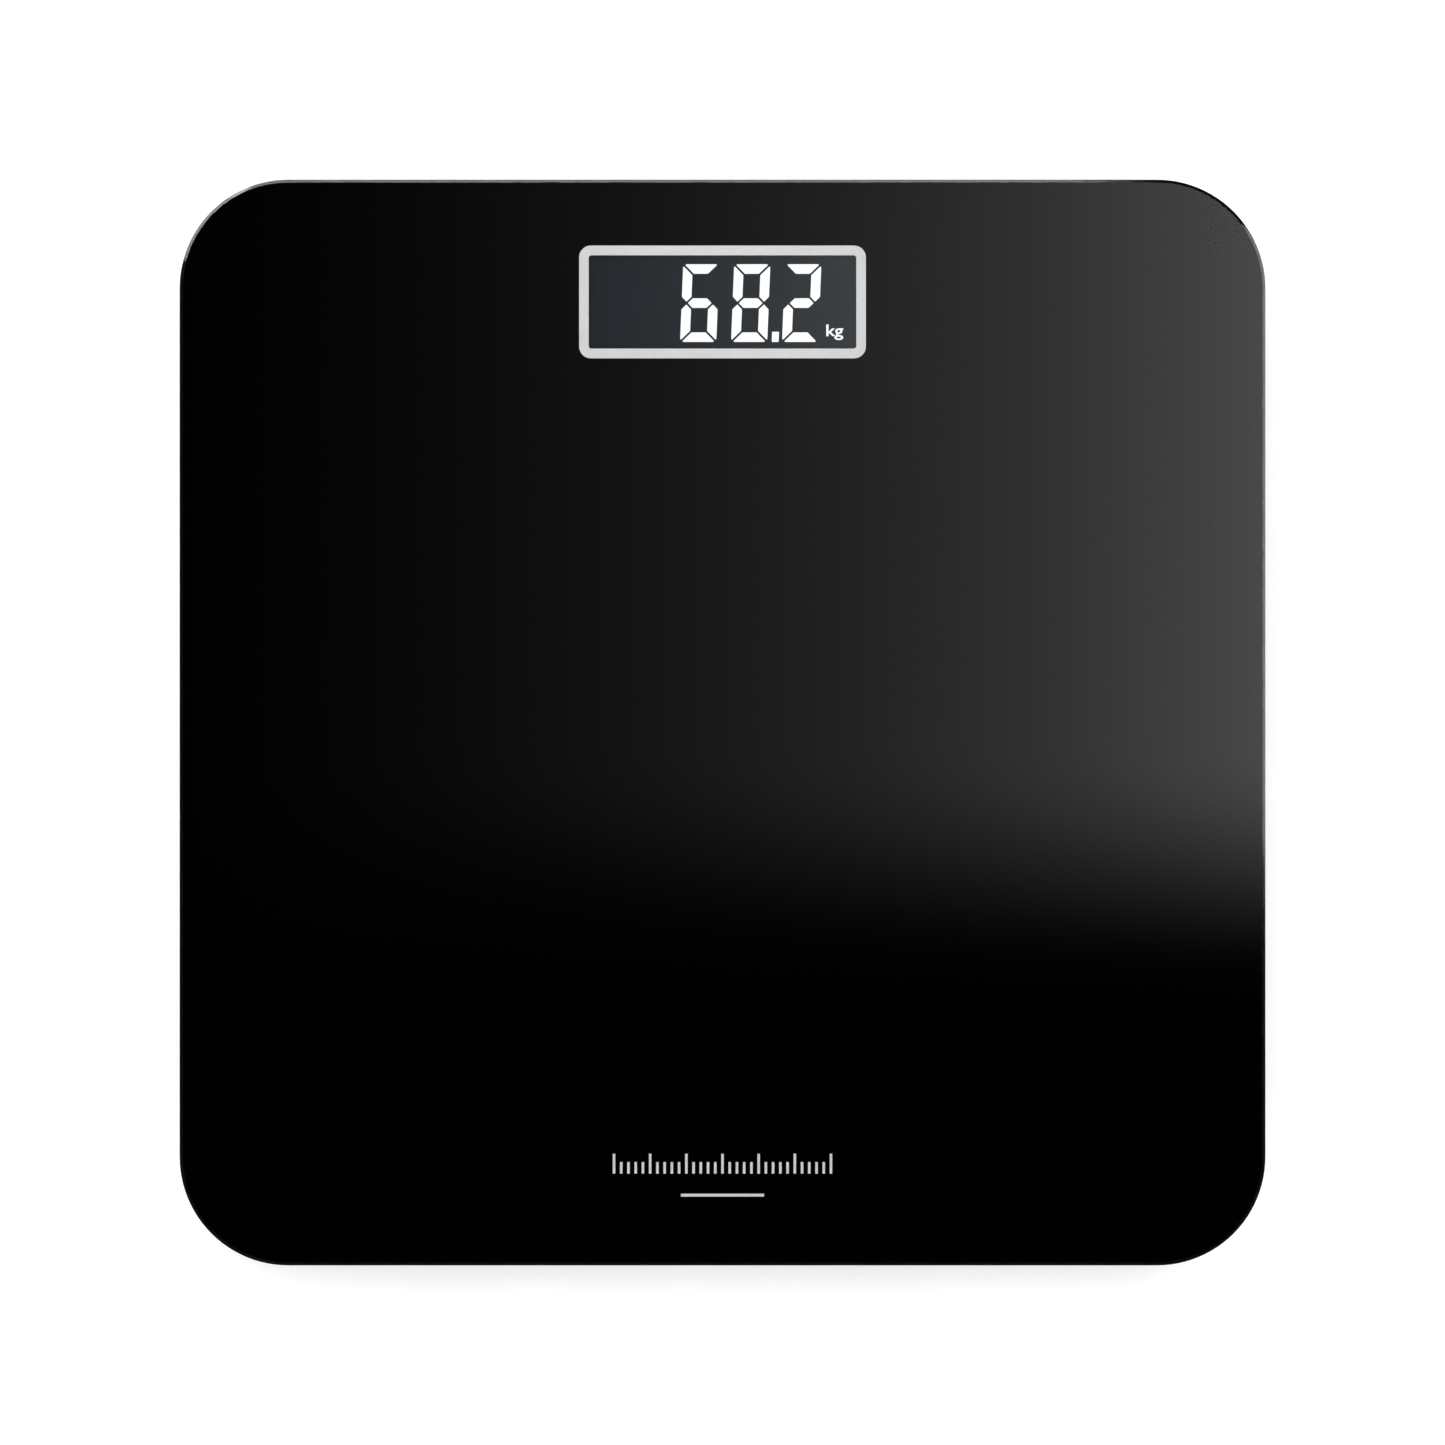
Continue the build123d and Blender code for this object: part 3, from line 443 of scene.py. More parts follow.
# ---------------------------------------------------------------- circuit board
# One glass-epoxy board under the display carries every electronic piece. Green solder mask covers
# its copper tracks, which stand a little proud and look lighter through the mask.

TRACK_SCALE = 210.0
TRACK_WIDTH = 0.022
TRACK_PROUD = 0.00003
WEAVE_PER_METRE = 1800.0


def board_material():
    """Solder mask over a net of tracks that run square to the board's edges."""
    made, shader = new_material("circuit_board", Coat_Weight=0.3, Coat_Roughness=0.12)
    tree = made.node_tree
    place = tree.nodes.new("ShaderNodeTexCoord")
    cells = tree.nodes.new("ShaderNodeTexBrick")
    cells.offset = 0.5
    cells.inputs["Scale"].default_value = TRACK_SCALE
    cells.inputs["Mortar Size"].default_value = TRACK_WIDTH
    for label, level in (("Color1", 0.0), ("Color2", 0.0), ("Mortar", 1.0)):
        cells.inputs[label].default_value = (level, level, level, 1.0)
    tree.links.new(place.outputs["Object"], cells.inputs["Vector"])
    tracks = cells.outputs["Color"]
    weave = noise(tree, WEAVE_PER_METRE, 2.0)
    two_colours(made, shader, tracks, (0.006, 0.075, 0.022), (0.018, 0.150, 0.045))
    tree.links.new(spread(tree, weave, 0.26, 0.36), shader.inputs["Roughness"])
    add_bump(made, shader, tracks, TRACK_PROUD)
    return made


give(board_material(), "main_board")


# ---------------------------------------------------------------- chip components
# Small ceramic resistors and capacitors stand on the board in two groups. Each has a tan body
# between two tinned end caps.

CHIP_CAP = 0.20
CHIP_PROUD = 0.94
CHIP_GROUPS = (
    {
        "middle": (0.026, 0.090), "pitch": (0.0040, 0.0034),
        "count": (4, 2), "size": (0.0020, 0.00125),
    },
    {
        "middle": (-0.026, 0.076), "pitch": (0.0044, 0.0050),
        "count": (3, 4), "size": (0.00125, 0.0020),
    },
)


def chip_tree(made):
    """Blocks in rows and columns: one block, or a pair of them, at each place."""
    tree, given, result = geometry_tree(
        "chips_in_rows",
        {
            "Middle": (0.0, 0.0, 0.0), "Block": (0.002, 0.001, 0.0006),
            "Half gap": (0.0, 0.0, 0.0), "Blocks": 1,
            "Width": 0.01, "Length": 0.01, "Columns": 2, "Rows": 2,
        },
    )
    block = node_of(tree, "GeometryNodeMeshCube", Size=given.outputs["Block"])
    back = node_of(tree, "ShaderNodeVectorMath")
    back.operation = "SCALE"
    back.inputs["Scale"].default_value = -1.0
    tree.links.new(given.outputs["Half gap"], back.inputs[0])
    ends = node_of(
        tree, "GeometryNodeMeshLine", Count=given.outputs["Blocks"],
        Start_Location=given.outputs["Half gap"],
    )
    ends.mode = "END_POINTS"
    tree.links.new(back.outputs[0], ends.inputs["Offset"])
    chip = node_of(
        tree, "GeometryNodeInstanceOnPoints", Points=ends.outputs[0], Instance=block.outputs[0]
    )
    places = node_of(
        tree, "GeometryNodeMeshGrid", Size_X=given.outputs["Width"], Size_Y=given.outputs["Length"],
        Vertices_X=given.outputs["Columns"], Vertices_Y=given.outputs["Rows"],
    )
    rows = node_of(
        tree, "GeometryNodeInstanceOnPoints", Points=places.outputs[0], Instance=chip.outputs[0]
    )
    placed = node_of(
        tree, "GeometryNodeTransform", Geometry=rows.outputs[0], Translation=given.outputs["Middle"]
    )
    end_tree(tree, result, placed.outputs[0], made)
    return tree


def chips(name, group, tree, caps):
    """One group's ceramic bodies, or the tinned caps on their ends."""
    low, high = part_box("chip_components")
    height = high.z - low.z
    size = (*group["size"], height)
    along = 0 if size[0] > size[1] else 1
    if caps:
        block = [size[axis] * (CHIP_CAP if axis == along else 1.0) for axis in range(3)]
        gap = [(size[axis] - block[axis]) / 2 if axis == along else 0.0 for axis in range(3)]
    else:
        block = [side * CHIP_PROUD for side in size]
        gap = [0.0, 0.0, 0.0]
    columns, rows = group["count"]
    values = {
        "Middle": (*group["middle"], (low.z + high.z) / 2), "Block": block, "Half gap": gap,
        "Blocks": 2 if caps else 1, "Columns": columns, "Rows": rows,
        "Width": group["pitch"][0] * (columns - 1),
        "Length": group["pitch"][1] * (rows - 1),
    }
    piece = grow(name, tree, values)
    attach(piece, "scale")
    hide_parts("chip_components")
    return piece


chip_ceramic = moulded(
    "chip_ceramic", (0.30, 0.22, 0.14), (0.42, 0.33, 0.23), 0.4, 0.6, 3000.0, 0.00001
)
solder = metal("solder", (0.66, 0.67, 0.68), (0.78, 0.79, 0.80), 0.15, 0.32, 700.0, 0.00003)
bodies_tree, caps_tree = chip_tree(chip_ceramic), chip_tree(solder)
for number, group in enumerate(CHIP_GROUPS, 1):
    chips(f"chip_bodies_{number}", group, bodies_tree, caps=False)
    chips(f"chip_caps_{number}", group, caps_tree, caps=True)


# ---------------------------------------------------------------- controller, crystal and solder
# The bare controller chip is bonded to the board under a blob of black epoxy. Its clock crystal is
# a nickel-plated can beside it. Bright solder holds the wires' ends, and screws hold the board.

black_epoxy = moulded(
    "black_epoxy", (0.008, 0.008, 0.009), (0.013, 0.013, 0.014), 0.18, 0.32, 160.0, 0.0003
)
nickel_can = metal("nickel_can", (0.66, 0.63, 0.57), (0.74, 0.72, 0.68), 0.12, 0.25)
give(black_epoxy, "controller_cap")
give(nickel_can, "clock_crystal")
give(solder, "solder_joints")
give(zinc_steel, "board_screws", "housing_screws")


# ---------------------------------------------------------------- unit button and its switch
# A small black ABS button in a round dish under the tray presses a tact switch on the board. It
# changes the reading's unit.

switch_plastic = moulded("switch_plastic", (0.022, 0.022, 0.024), (0.034, 0.034, 0.036), 0.4, 0.55)
button_abs = moulded(
    "button_abs", (0.030, 0.030, 0.032), (0.042, 0.042, 0.044), 0.3, 0.45, 4200.0, 0.00002
)
give(switch_plastic, "switch_body", "switch_plunger")
give(button_abs, "unit_button")


# ---------------------------------------------------------------- coin cell and contacts
# The lithium cell is a stainless-steel can crimped over a smaller cap, with a plastic seal between
# them. Two nickel-plated spring-steel contacts press its cap and its rim.

cell_steel = metal("cell_steel", (0.62, 0.62, 0.62), (0.70, 0.70, 0.69), 0.18, 0.32, 6400.0)
spring_steel = metal("spring_steel", (0.68, 0.66, 0.61), (0.76, 0.75, 0.72), 0.16, 0.3)
give(cell_steel, "coin_cell")
give(spring_steel, "negative_contact", "positive_contact")


# ---------------------------------------------------------------- battery door
# The door is moulded in the tray's black ABS. It turns on two short pins and its folded latch
# springs behind the tray's lip.

give(black_abs, "battery_door")


# ---------------------------------------------------------------- display
# The display is a stack in a black ABS housing. Over a white reflector and an acrylic light guide,
# lit from its ends, lie two sheets of glass between polarisers. The liquid crystal between the
# sheets looks almost black where it is unlit.

white_film = moulded(
    "white_film", (0.80, 0.80, 0.80), (0.86, 0.86, 0.86), 0.3, 0.45, 1500.0, 0.00001
)
lamp_plastic = moulded(
    "lamp_plastic", (0.80, 0.74, 0.42), (0.86, 0.82, 0.60), 0.2, 0.35, 2000.0, 0.00001
)
striped_rubber = moulded("striped_rubber", (0.07, 0.07, 0.075), (0.15, 0.15, 0.16), 0.6, 0.8)
give(black_abs, "display_housing")
give(foam_tape, "window_gasket")
give(white_film, "backlight_reflector")
give(lamp_plastic, "backlight_leds")
give(striped_rubber, "elastomer_connector")


def smoked(name, first, second):
    """A dark film whose tint drifts a little from one place to another."""
    made, shader = new_material(name)
    tree = made.node_tree
    two_colours(made, shader, spread(tree, noise(tree, 14.0, 3.0), 0.0, 1.0), first, second)
    tree.links.new(spread(tree, noise(tree, 900.0, 2.0), 0.03, 0.05), shader.inputs["Roughness"])
    return made


def clear(name, tint, shine):
    """A clear plate with very slight waviness, as drawn glass and acrylic have."""
    made, shader = new_material(
        name, Base_Color=(*tint, 1.0), Roughness=shine, Transmission_Weight=1.0, IOR=1.5
    )
    waves_per_metre, wave_depth = 60.0, 0.000004
    add_bump(made, shader, noise(made.node_tree, waves_per_metre, 1.0), wave_depth)
    return made


polariser_film = smoked("polariser_film", (0.0020, 0.0042, 0.0066), (0.0026, 0.0050, 0.0078))
give(polariser_film, "front_polariser", "rear_polariser")
give(clear("display_glass", (0.93, 0.97, 0.95), 0.02), "lcd_front_glass", "lcd_rear_glass")
give(clear("clear_acrylic", (0.97, 0.98, 0.98), 0.05), "light_guide")


# ---------------------------------------------------------------- lit segments
# The reading shows as white seven-segment figures with a point and a small unit sign. The light
# comes from the guide behind, so it is a little brighter near the guide's two lit ends.

DIGIT_WIDTH = 0.0100
DIGIT_HEIGHT = 0.0215
DIGIT_PITCH = 0.0141
DIGIT_SLANT = tan(radians(2.3))
SEGMENT = 0.00265
SEGMENT_GAP = 0.00040
SEGMENT_CORNER = 0.0011
SEGMENT_THICK = 0.00003
FIRST_DIGIT_X = -0.0063
DIGIT_DROP = 0.00028
SEGMENTS_OF = {"6": "afgecd", "8": "abcdefg", "2": "abged"}
POINT_X = 0.0150
POINT_WIDE = 0.0019
POINT_TALL = 0.0028
LIT_RISE_PER_METRE = 26.0


def top_bar():
    """The upper bar: square ends mitred to meet the uprights, with rounded outer corners."""
    half, top, gap = DIGIT_WIDTH / 2, DIGIT_HEIGHT / 2, SEGMENT_GAP
    turn = SEGMENT_CORNER * (1 - cos(pi / 4))
    right = [
        (half - SEGMENT_CORNER, top),
        (half - SEGMENT_CORNER * (1 - sin(pi / 8)), top - SEGMENT_CORNER * (1 - cos(pi / 8))),
        (half - turn - gap, top - turn),
        (half - SEGMENT - gap, top - SEGMENT),
    ]
    return right + [(-x, y) for x, y in reversed(right)]


def upper_right_bar():
    """The upper right upright: mitred at the top and pointed at the bottom."""
    half, top, gap = DIGIT_WIDTH / 2, DIGIT_HEIGHT / 2, SEGMENT_GAP
    turn = SEGMENT_CORNER * (1 - cos(pi / 4))
    return [
        (half - turn, top - turn - gap),
        (half - SEGMENT_CORNER * (1 - cos(pi / 8)), top - SEGMENT_CORNER * (1 - sin(pi / 8))),
        (half, top - SEGMENT_CORNER),
        (half, SEGMENT / 2 + gap),
        (half - SEGMENT / 2, gap),
        (half - SEGMENT, SEGMENT / 2 + gap),
        (half - SEGMENT, top - SEGMENT - gap),
    ][::-1]


def middle_bar():
    """The middle bar, pointed at both ends."""
    half = DIGIT_WIDTH / 2 - SEGMENT / 2 - SEGMENT_GAP
    thick = SEGMENT / 2
    return [
        (half, 0), (half - thick, -thick), (-half + thick, -thick),
        (-half, 0), (-half + thick, thick), (half - thick, thick),
    ]


def flipped(points, x=1, y=1):
    """An outline mirrored, still running the same way round."""
    turned = [(px * x, py * y) for px, py in points]
    return turned[::-1] if x * y < 0 else turned


SEGMENT_SHAPES = {
    "a": top_bar(),
    "b": upper_right_bar(),
    "c": flipped(upper_right_bar(), y=-1),
    "d": flipped(top_bar(), y=-1),
    "e": flipped(upper_right_bar(), x=-1, y=-1),
    "f": flipped(upper_right_bar(), x=-1),
    "g": middle_bar(),
}


def raise_outline(shape, points, bottom, thick):
    """Adds a flat prism with this outline to a bmesh."""
    low = [shape.verts.new((x, y, bottom)) for x, y in points]
    high = [shape.verts.new((x, y, bottom + thick)) for x, y in points]
    shape.faces.new(high)
    shape.faces.new(low[::-1])
    for here in range(len(points)):
        after = (here + 1) % len(points)
        shape.faces.new((low[here], low[after], high[after], high[here]))


def piece_from(shape, name, made):
    """Turns a bmesh into a finished object with its faces pointing outwards."""
    bmesh.ops.recalc_face_normals(shape, faces=shape.faces)
    mesh = bpy.data.meshes.new(name)
    shape.to_mesh(mesh)
    shape.free()
    mesh.materials.append(made)
    piece = bpy.data.objects.new(name, mesh)
    bpy.context.collection.objects.link(piece)
    return piece


window_low, window_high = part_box("window_frame")
window_middle = (window_low + window_high) / 2
screen_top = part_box("front_polariser")[1].z


def lean(points, x, y):
    """Slants an outline and moves it to its place on the display."""
    return [(x + px + py * DIGIT_SLANT, y + py) for px, py in points]


def reading(made):
    """The figures 6, 8 and 2 with a point before the last."""
    shape = bmesh.new()
    middle_y = window_middle.y - DIGIT_DROP
    outlines = []
    for place, figure in enumerate("682"):
        x = window_middle.x + FIRST_DIGIT_X + place * DIGIT_PITCH
        outlines += [lean(SEGMENT_SHAPES[segment], x, middle_y) for segment in SEGMENTS_OF[figure]]
    side, low = POINT_WIDE / 2, -DIGIT_HEIGHT / 2
    point = [(-side, low), (side, low), (side, low + POINT_TALL), (-side, low + POINT_TALL)]
    outlines.append(lean(point, window_middle.x + POINT_X, middle_y))
    for outline in outlines:
        raise_outline(shape, outline, screen_top, SEGMENT_THICK)
    return piece_from(shape, "lit_segments", made)


def split_place(tree, coordinates="Object"):
    """A node that gives a point's X, Y and Z."""
    place = tree.nodes.new("ShaderNodeTexCoord")
    split = tree.nodes.new("ShaderNodeSeparateXYZ")
    tree.links.new(place.outputs[coordinates], split.inputs[0])
    return split


def lit_material():
    """Light through the open liquid crystal, a little brighter towards the guide's lit ends."""
    made, shader = new_material(
        "lit_display", Base_Color=(0.1, 0.1, 0.1, 1.0), Roughness=0.4, Emission_Strength=1.0
    )
    tree = made.node_tree
    sideways = maths(tree, "MULTIPLY", split_place(tree).outputs["X"], LIT_RISE_PER_METRE)
    reach = maths(tree, "ABSOLUTE", sideways)
    two_colours(made, shader, reach, (0.93, 0.95, 0.96), (1.0, 1.0, 1.0), "Emission Color")
    return made


lit_display = lit_material()
figures = reading(lit_display)
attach(figures, "scale")

UNIT_LOW = (0.0287, -0.0105)
UNIT_WIDE = 0.0047
UNIT_TALL = 0.0043
UNIT_WEIGHT = 0.013
UNIT_MERGE = 0.000002


def unit_sign(made):
    """The small unit sign: the plain built-in typeface made a little bolder, fitted to its size."""
    curve = bpy.data.curves.new("unit", "FONT")
    curve.body = "kg"
    curve.offset = UNIT_WEIGHT
    curve.extrude = 0.5
    drawn = bpy.data.objects.new("unit", curve)
    bpy.context.collection.objects.link(drawn)
    seen = bpy.context.evaluated_depsgraph_get()
    mesh = bpy.data.meshes.new_from_object(drawn.evaluated_get(seen), depsgraph=seen)
    bpy.data.objects.remove(drawn)
    low = [min(v.co[axis] for v in mesh.vertices) for axis in range(3)]
    high = [max(v.co[axis] for v in mesh.vertices) for axis in range(3)]
    size = (UNIT_WIDE, UNIT_TALL, SEGMENT_THICK)
    start = (window_middle.x + UNIT_LOW[0], window_middle.y + UNIT_LOW[1], screen_top)
    grown = [size[axis] / (high[axis] - low[axis]) for axis in range(3)]
    for vertex in mesh.vertices:
        vertex.co = [start[a] + (vertex.co[a] - low[a]) * grown[a] for a in range(3)]
    shape = bmesh.new()
    shape.from_mesh(mesh)
    bmesh.ops.remove_doubles(shape, verts=shape.verts, dist=UNIT_MERGE)
    return piece_from(shape, "unit_sign", made)


unit = unit_sign(lit_display)
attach(unit, "scale")


# ---------------------------------------------------------------- backing film and prints
# A black film bonded under the whole glass holds its pieces together if it breaks. A satin silver
# frame is printed round the window, and a row of fine graduations near the front edge. Foam tape
# sticks the film to the tray's rim.


def ink(name, first, second):
    """A printed ink bonded to the glass, so that nothing shines between the two."""
    made, shader = new_material(name, Specular_IOR_Level=0.0)
    tree = made.node_tree
    flakes = spread(tree, noise(tree, 5200.0, 2.0), 0.0, 1.0)
    two_colours(made, shader, flakes, first, second)
    tree.links.new(spread(tree, noise(tree, 60.0, 2.0), 0.5, 0.62), shader.inputs["Roughness"])
    return made


silver_print = ink("silver_print", (0.582, 0.576, 0.586), (0.656, 0.650, 0.660))
black_ink = ink("black_film", (0.0002, 0.0002, 0.0003), (0.0004, 0.0004, 0.0005))
give(black_ink, "backing_film")
give(silver_print, "window_frame", "graduation_mark")
give(foam_tape, "perimeter_tape")


# ---------------------------------------------------------------- glass platform
# The platform is 5 mm tempered float glass. Its edge is ground square and polished, with a small
# slanted arris round both faces. Iron tints the edge green, and the film's black wraps on to the
# lower arris.

GLASS_BOND = 0.00002
GLASS_CORNER = 0.030
ARRIS = 0.0008
ARRIS_DROP = 0.0002
ARRIS_ROUND = 0.00004
CORNER_STEPS = 24
INKED_BANDS = 3
SHARP_EDGE = radians(6)
GLASS_IOR = 1.52
GRINDING_PER_METRE = 7000.0
GRINDING_STRETCH = (0.06, 0.06, 1.0)
GRINDING_DEPTH = 0.000006


def rounded_square(half, radius, z):
    """Points round a square with rounded corners, anticlockwise from above."""
    points = []
    for quarter, (side_x, side_y) in enumerate(((1, 1), (-1, 1), (-1, -1), (1, -1))):
        centre = Vector((side_x * (half - radius), side_y * (half - radius), z))
        for step in range(CORNER_STEPS + 1):
            angle = (quarter + step / CORNER_STEPS) * pi / 2
            points.append(centre + radius * Vector((cos(angle), sin(angle), 0)))
    return points


def glass_profile(bottom, top):
    """The edge from the lower face to the upper: (inset, height) pairs with softened arrises."""
    soft, softer = ARRIS_ROUND, ARRIS_ROUND * 0.4
    arris = [(ARRIS + soft, 0), (ARRIS, softer), (softer, ARRIS_DROP), (0, ARRIS_DROP + soft)]
    lower = [(inset, bottom + up) for inset, up in arris]
    upper = [(inset, top - down) for inset, down in reversed(arris)]
    return lower + upper


def glass_slab(pane, edge, wrap):
    """A closed slab lofted from the edge profile, with its own edge and inked lower arris."""
    low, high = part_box("glass_platform")
    half = (high.x - low.x) / 2
    shape = bmesh.new()
    rings = []
    for inset, height in glass_profile(low.z - GLASS_BOND, high.z):
        outline = rounded_square(half - inset, GLASS_CORNER - inset, height)
        rings.append([shape.verts.new(point) for point in outline])
    for level, (below, above) in enumerate(zip(rings, rings[1:])):
        for here in range(len(below)):
            after = (here + 1) % len(below)
            side = shape.faces.new((below[here], below[after], above[after], above[here]))
            side.material_index = 2 if level < INKED_BANDS else 1
            side.smooth = True
    shape.faces.new(rings[0][::-1])
    shape.faces.new(rings[-1])
    piece = piece_from(shape, "glass_slab", pane)
    piece.data.set_sharp_from_angle(angle=SHARP_EDGE)
    piece.data.materials.append(edge)
    piece.data.materials.append(wrap)
    return piece


def let_lamps_through(made, shader, tint):
    """Lets the lamps' light reach what lies under the glass."""
    tree = made.node_tree
    path = tree.nodes.new("ShaderNodeLightPath")
    open_way = tree.nodes.new("ShaderNodeBsdfTransparent")
    open_way.inputs["Color"].default_value = (*tint, 1.0)
    mix = tree.nodes.new("ShaderNodeMixShader")
    tree.links.new(path.outputs["Is Shadow Ray"], mix.inputs[0])
    tree.links.new(shader.outputs[0], mix.inputs[1])
    tree.links.new(open_way.outputs[0], mix.inputs[2])
    tree.links.new(mix.outputs[0], tree.nodes["Material Output"].inputs["Surface"])


def pane_material():
    """The polished faces. The glass's green drifts very slightly from place to place."""
    made, shader = new_material(
        "float_glass", Transmission_Weight=1.0, IOR=GLASS_IOR, Roughness=0.015
    )
    drift = spread(made.node_tree, noise(made.node_tree, 9.0, 1.0), 0.0, 1.0)
    two_colours(made, shader, drift, (0.965, 0.975, 0.970), (0.975, 0.982, 0.978))
    let_lamps_through(made, shader, (0.94, 0.95, 0.945))
    return made


def edge_material():
    """The ground edge: polished, but with fine grinding lines along it."""
    tint = (0.50, 0.80, 0.68)
    made, shader = new_material(
        "ground_edge", Base_Color=(*tint, 1.0), Transmission_Weight=1.0, IOR=GLASS_IOR
    )
    tree = made.node_tree
    lines = noise(tree, GRINDING_PER_METRE, 2.0, GRINDING_STRETCH)
    tree.links.new(spread(tree, lines, 0.04, 0.12), shader.inputs["Roughness"])
    add_bump(made, shader, lines, GRINDING_DEPTH)
    let_lamps_through(made, shader, tint)
    return made


slab = glass_slab(pane_material(), edge_material(), black_ink)
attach(slab, "scale")
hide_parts("glass_platform")


# ---------------------------------------------------------------- rating label
# A satin silver polyester label is stuck in a shallow recess under the tray. It is blank but for
# a fine printed border.

BORDER_INSET = 0.0022
BORDER_HALF_WIDTH = 0.00022


def label_material():
    """Silver polyester with a thin dark border just inside its edge."""
    made, shader = new_material("label_film", Metallic=0.6)
    tree = made.node_tree
    low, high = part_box("rating_label")
    middle, half = (low + high) / 2, (high - low) / 2
    split = split_place(tree)
    distances = []
    for axis, centre, reach in (("X", middle.x, half.x), ("Y", middle.y, half.y)):
        away = maths(tree, "ABSOLUTE", maths(tree, "SUBTRACT", split.outputs[axis], centre))
        distances.append(maths(tree, "SUBTRACT", reach, away))
    inset = maths(tree, "MINIMUM", *distances)
    off_line = maths(tree, "ABSOLUTE", maths(tree, "SUBTRACT", inset, BORDER_INSET))
    border = maths(tree, "LESS_THAN", off_line, BORDER_HALF_WIDTH)
    two_colours(made, shader, border, (0.50, 0.51, 0.52), (0.03, 0.03, 0.03))
    tree.links.new(spread(tree, noise(tree, 3000.0, 2.0), 0.34, 0.46), shader.inputs["Roughness"])
    return made


give(label_material(), "rating_label")


# ---------------------------------------------------------------- floor, light and camera
# A pale seamless floor under an even sky that is dark straight overhead, where one soft panel
# shows in the glass. Strips catch the glass's arris at the back, the rear left corner and the
# right, and a low lamp lights the underside.

VIEW_WIDTH = 0.3992
LENS = 300.0
SENSOR = 36.0
CAMERA_RISE = VIEW_WIDTH * LENS / SENSOR
FLOOR_HALF = 4.0
PANEL_HALF = 0.45
PANEL_RISE = 2.6
PANEL_SPREAD = (CAMERA_RISE + PANEL_RISE) / CAMERA_RISE
PANEL_SIDES = 0.1525 * PANEL_SPREAD
PANEL_FADE_START = -0.0815 * PANEL_SPREAD
PANEL_FADE_END = -0.0068 * PANEL_SPREAD
PANEL_FADE_POWER = 1.8
PANEL_GROWTH = 36.6
PANEL_STRENGTH = 0.0451
SKY_RISE = (sin(radians(8)), sin(radians(32)))
SKY_HOLE = (cos(radians(22)), cos(radians(40)))
SKY_LOW = 0.15
SKY_HIGH = 2.0
MIRROR_DIMMING = 0.86
THROUGH_GLASS_DIMMING = 0.30
STRIPS = (
    ("rear_strip", (-0.16, 0.75, 1.04), (-0.16, 0.15, 0.022), (0.62, 0.25), 4.2),
    ("corner_strip", (-0.586, 0.54, 1.02), (-0.14, 0.14, 0.022), (0.50, 0.25), 6.0),
    ("right_strip", (0.75, 0.23, 1.04), (0.15, 0.23, 0.022), (0.56, 0.25), 4.2),
    ("low_fill", (-0.9, 0.7, -1.1), (0, 0, 0), (0.9, 0.5), 7.0),
)


def floor_material():
    """Smooth pale paint, faintly lit from within, that can be seen only from above."""
    made, shader = new_material("pale_floor", Roughness=0.7, Emission_Strength=0.25)
    shader.inputs["Emission Color"].default_value = (1.0, 1.0, 1.0, 1.0)
    tree = made.node_tree
    clouds = spread(tree, noise(tree, 40.0, 3.0), 0.0, 1.0)
    two_colours(made, shader, clouds, (0.90, 0.90, 0.90), (0.93, 0.93, 0.93))
    side = tree.nodes.new("ShaderNodeNewGeometry")
    hidden = tree.nodes.new("ShaderNodeBsdfTransparent")
    mix = tree.nodes.new("ShaderNodeMixShader")
    tree.links.new(side.outputs["Backfacing"], mix.inputs[0])
    tree.links.new(shader.outputs[0], mix.inputs[1])
    tree.links.new(hidden.outputs[0], mix.inputs[2])
    tree.links.new(mix.outputs[0], tree.nodes["Material Output"].inputs["Surface"])
    return made


def staged_plane(name, half, z, made, facing=1):
    """A flat square that isn't part of the object, facing up, or down where facing is -1."""
    shape = bmesh.new()
    ways = ((-1, -1), (1, -1), (1, 1), (-1, 1))[::facing]
    shape.faces.new([shape.verts.new((x * half, y * half, z)) for x, y in ways])
    mesh = bpy.data.meshes.new(name)
    shape.to_mesh(mesh)
    shape.free()
    mesh.materials.append(made)
    sheet = bpy.data.objects.new(name, mesh)
    bpy.context.collection.objects.link(sheet)
    return sheet


def fade(tree, source, low, high, smooth=True):
    """A value that goes from 0 at low to 1 at high."""
    node = tree.nodes.new("ShaderNodeMapRange")
    node.interpolation_type = "SMOOTHSTEP" if smooth else "LINEAR"
    node.inputs["From Min"].default_value = low
    node.inputs["From Max"].default_value = high
    tree.links.new(source, node.inputs["Value"])
    return node.outputs["Result"]


def panel_material():
    """Light that grows ever faster from left to right and fades out towards the front."""
    made = bpy.data.materials.new("soft_panel")
    made.use_nodes = True
    tree = made.node_tree
    tree.nodes.remove(tree.nodes["Principled BSDF"])
    light = tree.nodes.new("ShaderNodeEmission")
    split = split_place(tree)
    across = fade(tree, split.outputs["X"], -PANEL_SIDES, PANEL_SIDES, smooth=False)
    along = fade(tree, split.outputs["Y"], PANEL_FADE_START, PANEL_FADE_END)
    rising = maths(tree, "SUBTRACT", maths(tree, "POWER", PANEL_GROWTH, across), 1.0)
    soft_end = maths(tree, "POWER", along, PANEL_FADE_POWER)
    strength = maths(tree, "MULTIPLY", maths(tree, "MULTIPLY", rising, soft_end), PANEL_STRENGTH)
    tree.links.new(strength, light.inputs["Strength"])
    tree.links.new(light.outputs[0], tree.nodes["Material Output"].inputs["Surface"])
    return made


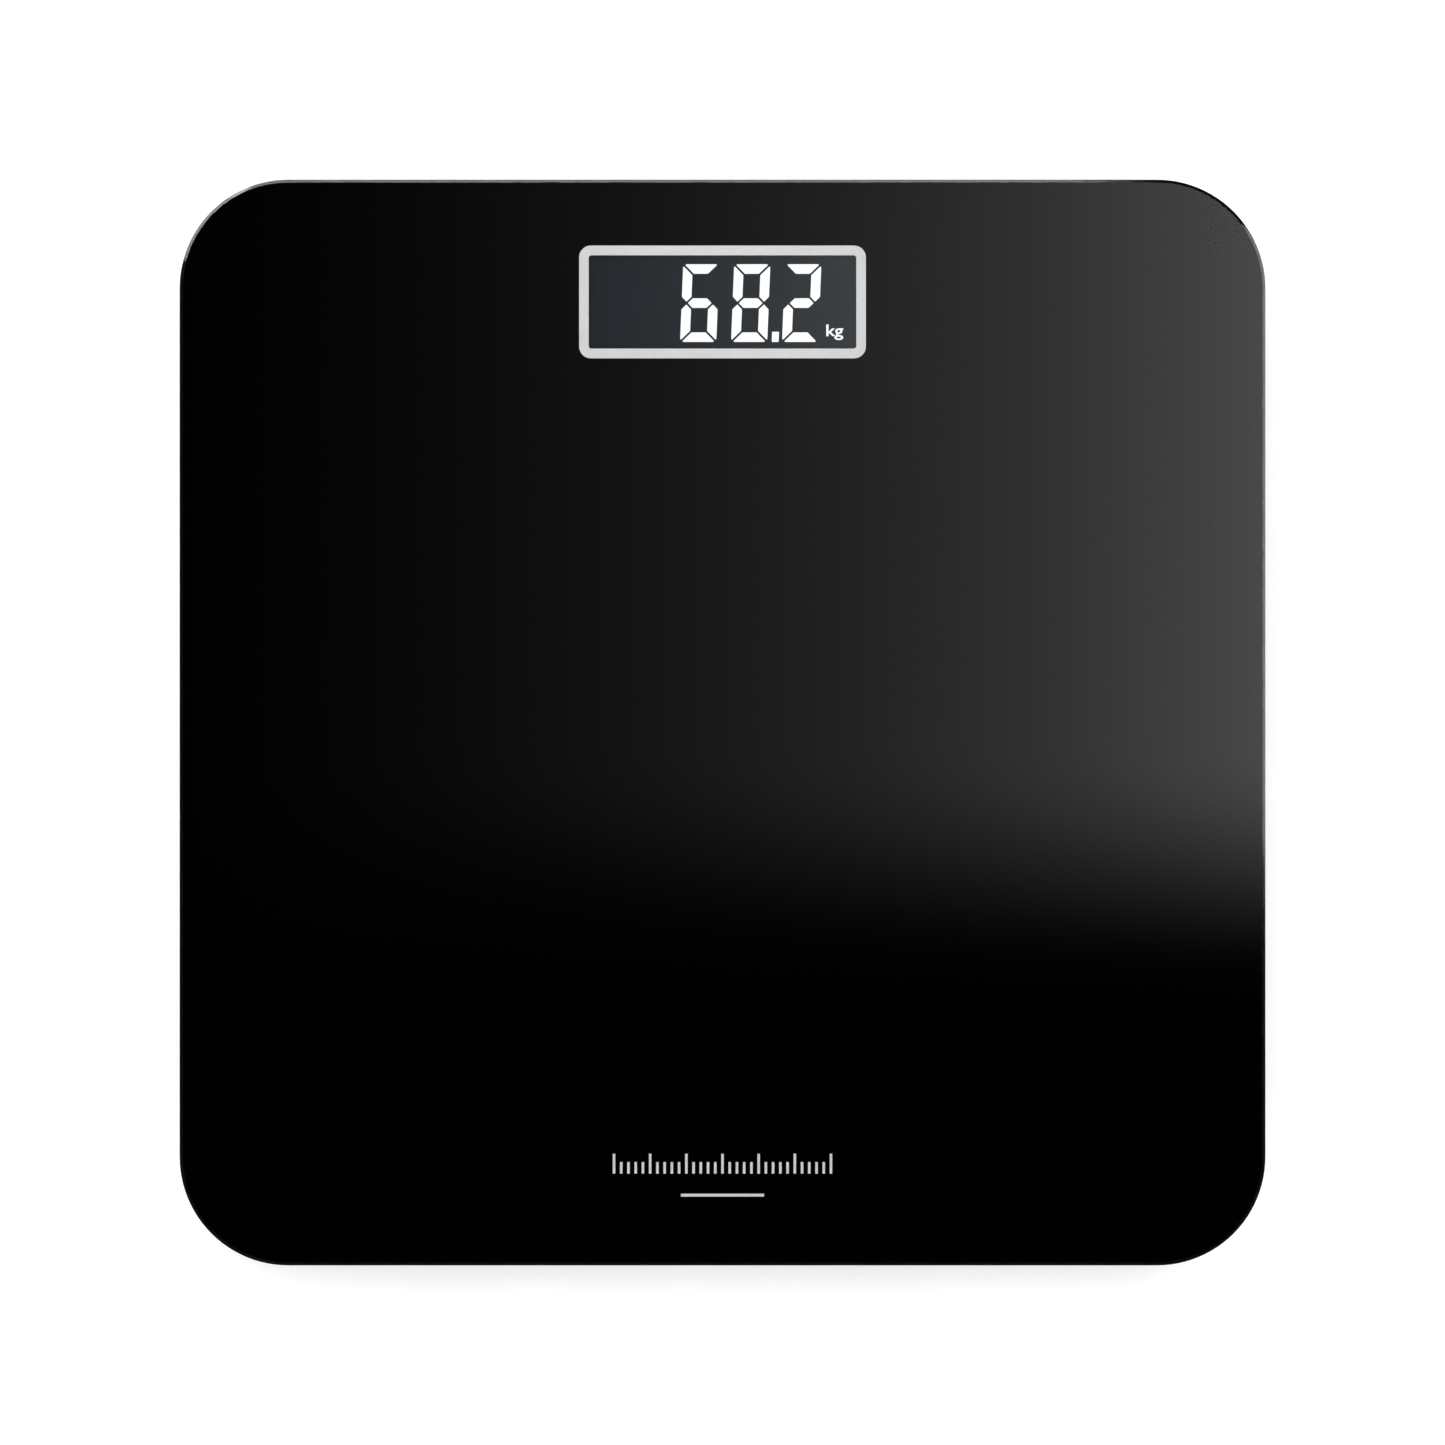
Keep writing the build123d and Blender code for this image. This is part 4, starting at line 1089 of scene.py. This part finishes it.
top = cad_box[1][2]
floor = staged_plane("floor", FLOOR_HALF, 0.0, floor_material())
floor.visible_shadow = False
panel = staged_plane("panel", PANEL_HALF, top + PANEL_RISE, panel_material(), facing=-1)
panel.visible_camera = False
panel.visible_shadow = False
panel.visible_diffuse = False


def light_world():
    """Pale light from all round, weak low down, none straight overhead, and dimmed in mirrors."""
    world = bpy.data.worlds.new("studio")
    bpy.context.scene.world = world
    world.use_nodes = True
    tree = world.node_tree
    back = tree.nodes["Background"]
    path = tree.nodes.new("ShaderNodeLightPath")
    height = split_place(tree, "Generated").outputs["Z"]
    rise = maths(tree, "MULTIPLY", fade(tree, height, *SKY_RISE), SKY_HIGH - SKY_LOW)
    above = maths(tree, "ADD", rise, SKY_LOW)
    open_sky = fade(tree, height, *SKY_HOLE)
    relief = MIRROR_DIMMING - THROUGH_GLASS_DIMMING
    eased = maths(tree, "MULTIPLY", path.outputs["Is Transmission Ray"], relief)
    dimming = maths(tree, "SUBTRACT", MIRROR_DIMMING, eased)
    dimmed = maths(tree, "MULTIPLY", path.outputs["Is Glossy Ray"], dimming)
    mirrored = maths(tree, "SUBTRACT", 1.0, dimmed)
    lit = maths(tree, "MULTIPLY", maths(tree, "MULTIPLY", above, open_sky), mirrored)
    strength = maths(tree, "MAXIMUM", lit, path.outputs["Is Camera Ray"])
    tree.links.new(strength, back.inputs["Strength"])
    back.inputs["Color"].default_value = (1.0, 1.0, 1.0, 1.0)


def strip_light(name, place, target, size, radiance):
    """A long soft lamp aimed at a point."""
    lamp = bpy.data.lights.new(name, "AREA")
    lamp.shape = "RECTANGLE"
    lamp.size, lamp.size_y = size
    lamp.energy = radiance * pi * size[0] * size[1]
    holder = bpy.data.objects.new(name, lamp)
    holder.location = place
    holder.rotation_euler = (Vector(target) - Vector(place)).to_track_quat("-Z", "Y").to_euler()
    holder.visible_camera = False
    bpy.context.collection.objects.link(holder)


light_world()
for strip in STRIPS:
    strip_light(*strip)

lens = bpy.data.cameras.new("camera")
lens.lens = LENS
lens.sensor_width = SENSOR
camera = bpy.data.objects.new("camera", lens)
camera.location = (0, 0, top + CAMERA_RISE)
bpy.context.collection.objects.link(camera)
bpy.context.scene.camera = camera
bpy.context.scene.view_settings.view_transform = "Standard"
